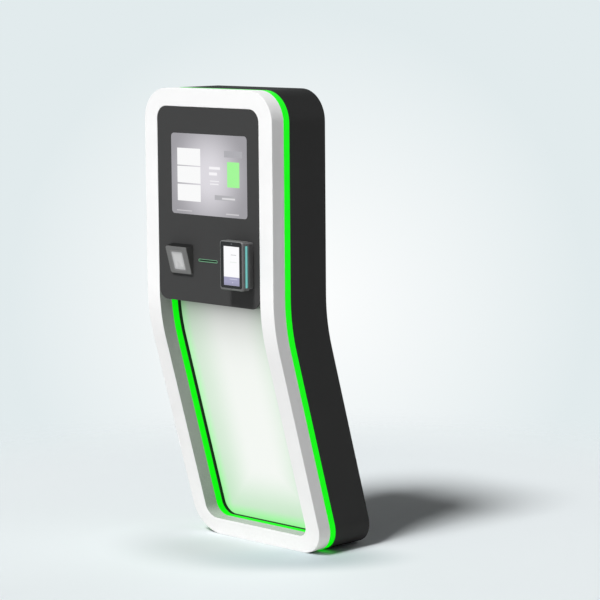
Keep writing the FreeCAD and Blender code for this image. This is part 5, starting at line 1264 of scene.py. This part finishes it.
class TERMINAL_OT_fan(Undoable, Operator):
    """Round off the cooling fan"""

    bl_idname = "terminal.fan"
    bl_label = "Fan"

    def execute(self, context):
        round_off("plastic_round", "fan_frame", "fan_rotor")
        return {"FINISHED"}


class TERMINAL_OT_foot(Undoable, Operator):
    """Round off the foot, its ballast and the posts"""

    bl_idname = "terminal.foot"
    bl_label = "Foot and posts"

    def execute(self, context):
        round_off(
            "sheet_round", "base_plate", "ballast_plates", "cable_grommet", "spine_posts",
            "side_brackets",
        )
        return {"FINISHED"}


class TERMINAL_OT_fasteners(Undoable, Operator):
    """Round off the screws, and finish the studs and nuts"""

    bl_idname = "terminal.fasteners"
    bl_label = "Fasteners"

    def execute(self, context):
        round_off("small_round", "case_screws")
        dress("frame_fasteners")
        return {"FINISHED"}


# Stage

FLOOR_RADIUS = 9.0
FLOOR_SIDES = 96
FLOOR_CLEAR = 1.25
FLOOR_FADE = 1.2
# Painted soft shadow by the foot and painted shade in front of the recess, each a soft oval on the
# floor: its centre, its reach along each axis, and its core.
CONTACT_PLACE = (0.237, -0.207, 0.0)
CONTACT_REACH = (0.4, 0.22, 1.0)
CONTACT_CORE = 0.25
FRONT_SHADE_PLACE = (-0.05, -0.3, 0.0)
FRONT_SHADE_REACH = (0.46, 0.34, 1.0)
FRONT_SHADE_CORE = 0.1
BACKDROP_REACH = math.radians(6.8)
FILL_SOFTNESS = math.radians(60)
FRONT_FILL_WAY = (0.15, 1.0, 0.0)
BACK_FILL_WAY = (0.0, -1.0, -0.05)
SENSOR_WIDTH = 36.0
CLIP_END = 100.0


def floor_spot(wires, centre, reach, turn, core):
    """Soft oval on the floor: 1 in its core, 0 at its reach."""
    oval = wires.add("ShaderNodeMapping", {
        "Vector": wires.place, "Location": centre, "Rotation": (0.0, 0.0, turn), "Scale": reach,
    }, vector_type="TEXTURE")
    away = wires.vector("LENGTH", oval.outputs["Vector"])["Value"]
    return wires.ramp(away, core, 1.0, 1.0, 0.0, smooth=True)


def seen_by_eye(wires):
    """1 for the rays by which the camera sees a surface, directly, mirrored or through glass."""
    seen = wires.add("ShaderNodeLightPath").outputs
    eye = wires.math("MAXIMUM", seen["Is Camera Ray"], seen["Is Glossy Ray"])
    return wires.math("MAXIMUM", eye, seen["Is Transmission Ray"])


def floor_material():
    """Pale floor that fades into the backdrop for the eye, and stays whole for the light, with
    painted shade in front of the recess and a painted soft shadow by the foot.
    """
    material = bpy.data.materials.new("studio_floor")
    wires = empty_tree(material)
    own = studio()
    eye = seen_by_eye(wires)
    # Painted shade in front of the recess and a painted soft shadow by the foot.
    front = floor_spot(wires, FRONT_SHADE_PLACE, FRONT_SHADE_REACH, 0.0, FRONT_SHADE_CORE)
    contact = floor_spot(wires, CONTACT_PLACE, CONTACT_REACH, own.camera_turn, CONTACT_CORE)
    colour = wires.blend(front, own.floor_tone, own.front_shade_tone)
    colour = wires.blend(contact, colour, own.contact_tone)
    colour = wires.blend(eye, own.floor_bounce, colour)
    matt = wires.add("ShaderNodeBsdfDiffuse", {"Color": colour})
    through = wires.add("ShaderNodeBsdfTransparent")
    away = wires.vector("LENGTH", wires.place)["Value"]
    fade = wires.ramp(away, FLOOR_CLEAR, FLOOR_CLEAR + FLOOR_FADE, smooth=True)
    surface = wires.mix_shaders(wires.times(eye, fade), matt, through)
    wires.add("ShaderNodeOutputMaterial", {"Surface": surface})
    return material


def make_floor():
    shape = bmesh.new()
    bmesh.ops.create_circle(shape, cap_ends=True, radius=FLOOR_RADIUS, segments=FLOOR_SIDES)
    floor = add_object("studio_floor", mesh_of("studio_floor", shape))
    floor.data.materials.append(floor_material())


def camera_axes():
    """Right, up and back directions of the photograph's camera."""
    own = studio()
    turn, pitch, roll = own.camera_turn, own.camera_pitch, own.camera_roll
    right = Vector((math.cos(turn), math.sin(turn), 0.0))
    back = Vector((
        math.sin(turn) * math.cos(pitch), -math.cos(turn) * math.cos(pitch), math.sin(pitch),
    ))
    up = back.cross(right)
    rolled_right = right * math.cos(roll) - up * math.sin(roll)
    rolled_up = up * math.cos(roll) + right * math.sin(roll)
    return rolled_right, rolled_up, back


def make_camera():
    own = studio()
    camera = add_object("studio_camera", bpy.data.cameras.new("studio_camera"))
    place = Matrix(camera_axes()).transposed().to_4x4()
    place.translation = Vector((own.distance_right, -own.distance_front, own.camera_height))
    camera.matrix_world = place
    camera.data.lens = own.lens
    camera.data.sensor_width = SENSOR_WIDTH
    camera.data.clip_end = CLIP_END
    bpy.context.scene.camera = camera


def make_lamp(name, strength, towards, softness=FILL_SOFTNESS):
    """Even light that shines in one direction."""
    lamp = add_object(name, bpy.data.lights.new(name, "SUN"))
    lamp.data.energy = strength
    lamp.data.angle = softness
    lamp.rotation_mode = "QUATERNION"
    lamp.rotation_quaternion = Vector(towards).to_track_quat("-Z", "Y")


def make_lamps():
    own = studio()
    rise, turn = own.key_rise, own.key_turn
    from_key = (-math.sin(turn) * math.cos(rise), math.cos(turn) * math.cos(rise), -math.sin(rise))
    make_lamp("key_light", own.key_strength, from_key, own.key_softness)
    make_lamp("front_fill", own.front_strength, FRONT_FILL_WAY)
    make_lamp("back_fill", own.back_strength, BACK_FILL_WAY)


def make_world():
    """Pale backdrop for the eye, brightest behind the object, and a weak even light."""
    world = bpy.data.worlds.new("studio_world")
    bpy.context.scene.world = world
    wires = empty_tree(world, "Generated")
    own = studio()
    facing = wires.vector("DOT_PRODUCT", wires.place, -camera_axes()[2])["Value"]
    away = wires.math("ARCCOSINE", wires.math("MINIMUM", facing, 1.0))
    picture = wires.blend(wires.ramp(away, 0.0, BACKDROP_REACH), own.centre_tone, own.rim_tone)
    backdrop = wires.add("ShaderNodeBackground", {"Color": picture, "Strength": 1.0})
    room = wires.add(
        "ShaderNodeBackground", {"Color": own.room_tone, "Strength": own.room_strength},
    )
    surface = wires.mix_shaders(seen_by_eye(wires), room, backdrop)
    wires.add("ShaderNodeOutputWorld", {"Surface": surface})


class TERMINAL_OT_stage(Undoable, Operator):
    """Make the floor, the camera, the lamps and the backdrop"""

    bl_idname = "terminal.stage"
    bl_label = "Stage"

    def execute(self, context):
        make_camera()
        make_floor()
        make_lamps()
        make_world()
        context.scene.view_settings.view_transform = "Standard"
        return {"FINISHED"}


class TERMINAL_OT_materials(Undoable, Operator):
    """Build the shared effects and every finish"""

    bl_idname = "terminal.materials"
    bl_label = "Finishes"

    def execute(self, context):
        fine_texture_effect()
        brushed_effect()
        edge_wear_effect()
        dust_effect()
        block_effect()
        build_finishes()
        return {"FINISHED"}


STEPS = (
    TERMINAL_OT_stage,
    TERMINAL_OT_materials,
    TERMINAL_OT_front_frame,
    TERMINAL_OT_light_ring,
    TERMINAL_OT_rear_shell,
    TERMINAL_OT_recess,
    TERMINAL_OT_control_panel,
    TERMINAL_OT_touch_screen,
    TERMINAL_OT_ticket_slot,
    TERMINAL_OT_code_reader,
    TERMINAL_OT_payment_device,
    TERMINAL_OT_printer,
    TERMINAL_OT_equipment,
    TERMINAL_OT_rear_door,
    TERMINAL_OT_fan,
    TERMINAL_OT_foot,
    TERMINAL_OT_fasteners,
)


class TERMINAL_PT_panel(Panel):
    """Building steps and their settings"""

    bl_idname = "TERMINAL_PT_panel"
    bl_label = "Parking entry terminal"
    bl_space_type = "VIEW_3D"
    bl_region_type = "UI"
    bl_category = "Terminal"

    def draw(self, context):
        for step in STEPS:
            self.layout.operator(step.bl_idname)
        for settings in (colours(), sizes(), studio()):
            column = self.layout.column()
            for name in settings.__annotations__:
                column.prop(settings, name)


SETTINGS = {
    "terminal_colours": TerminalColours,
    "terminal_sizes": TerminalSizes,
    "terminal_studio": TerminalStudio,
}


def register():
    for kind in (*SETTINGS.values(), *STEPS, TERMINAL_PT_panel):
        bpy.utils.register_class(kind)
    for name, kind in SETTINGS.items():
        setattr(bpy.types.Scene, name, PointerProperty(type=kind))


def unregister():
    for name in SETTINGS:
        delattr(bpy.types.Scene, name)
    for kind in reversed((*SETTINGS.values(), *STEPS, TERMINAL_PT_panel)):
        bpy.utils.unregister_class(kind)


def main():
    register()
    for step in STEPS:
        group, name = step.bl_idname.split(".")
        getattr(getattr(bpy.ops, group), name)()


if __name__ == "__main__":
    main()
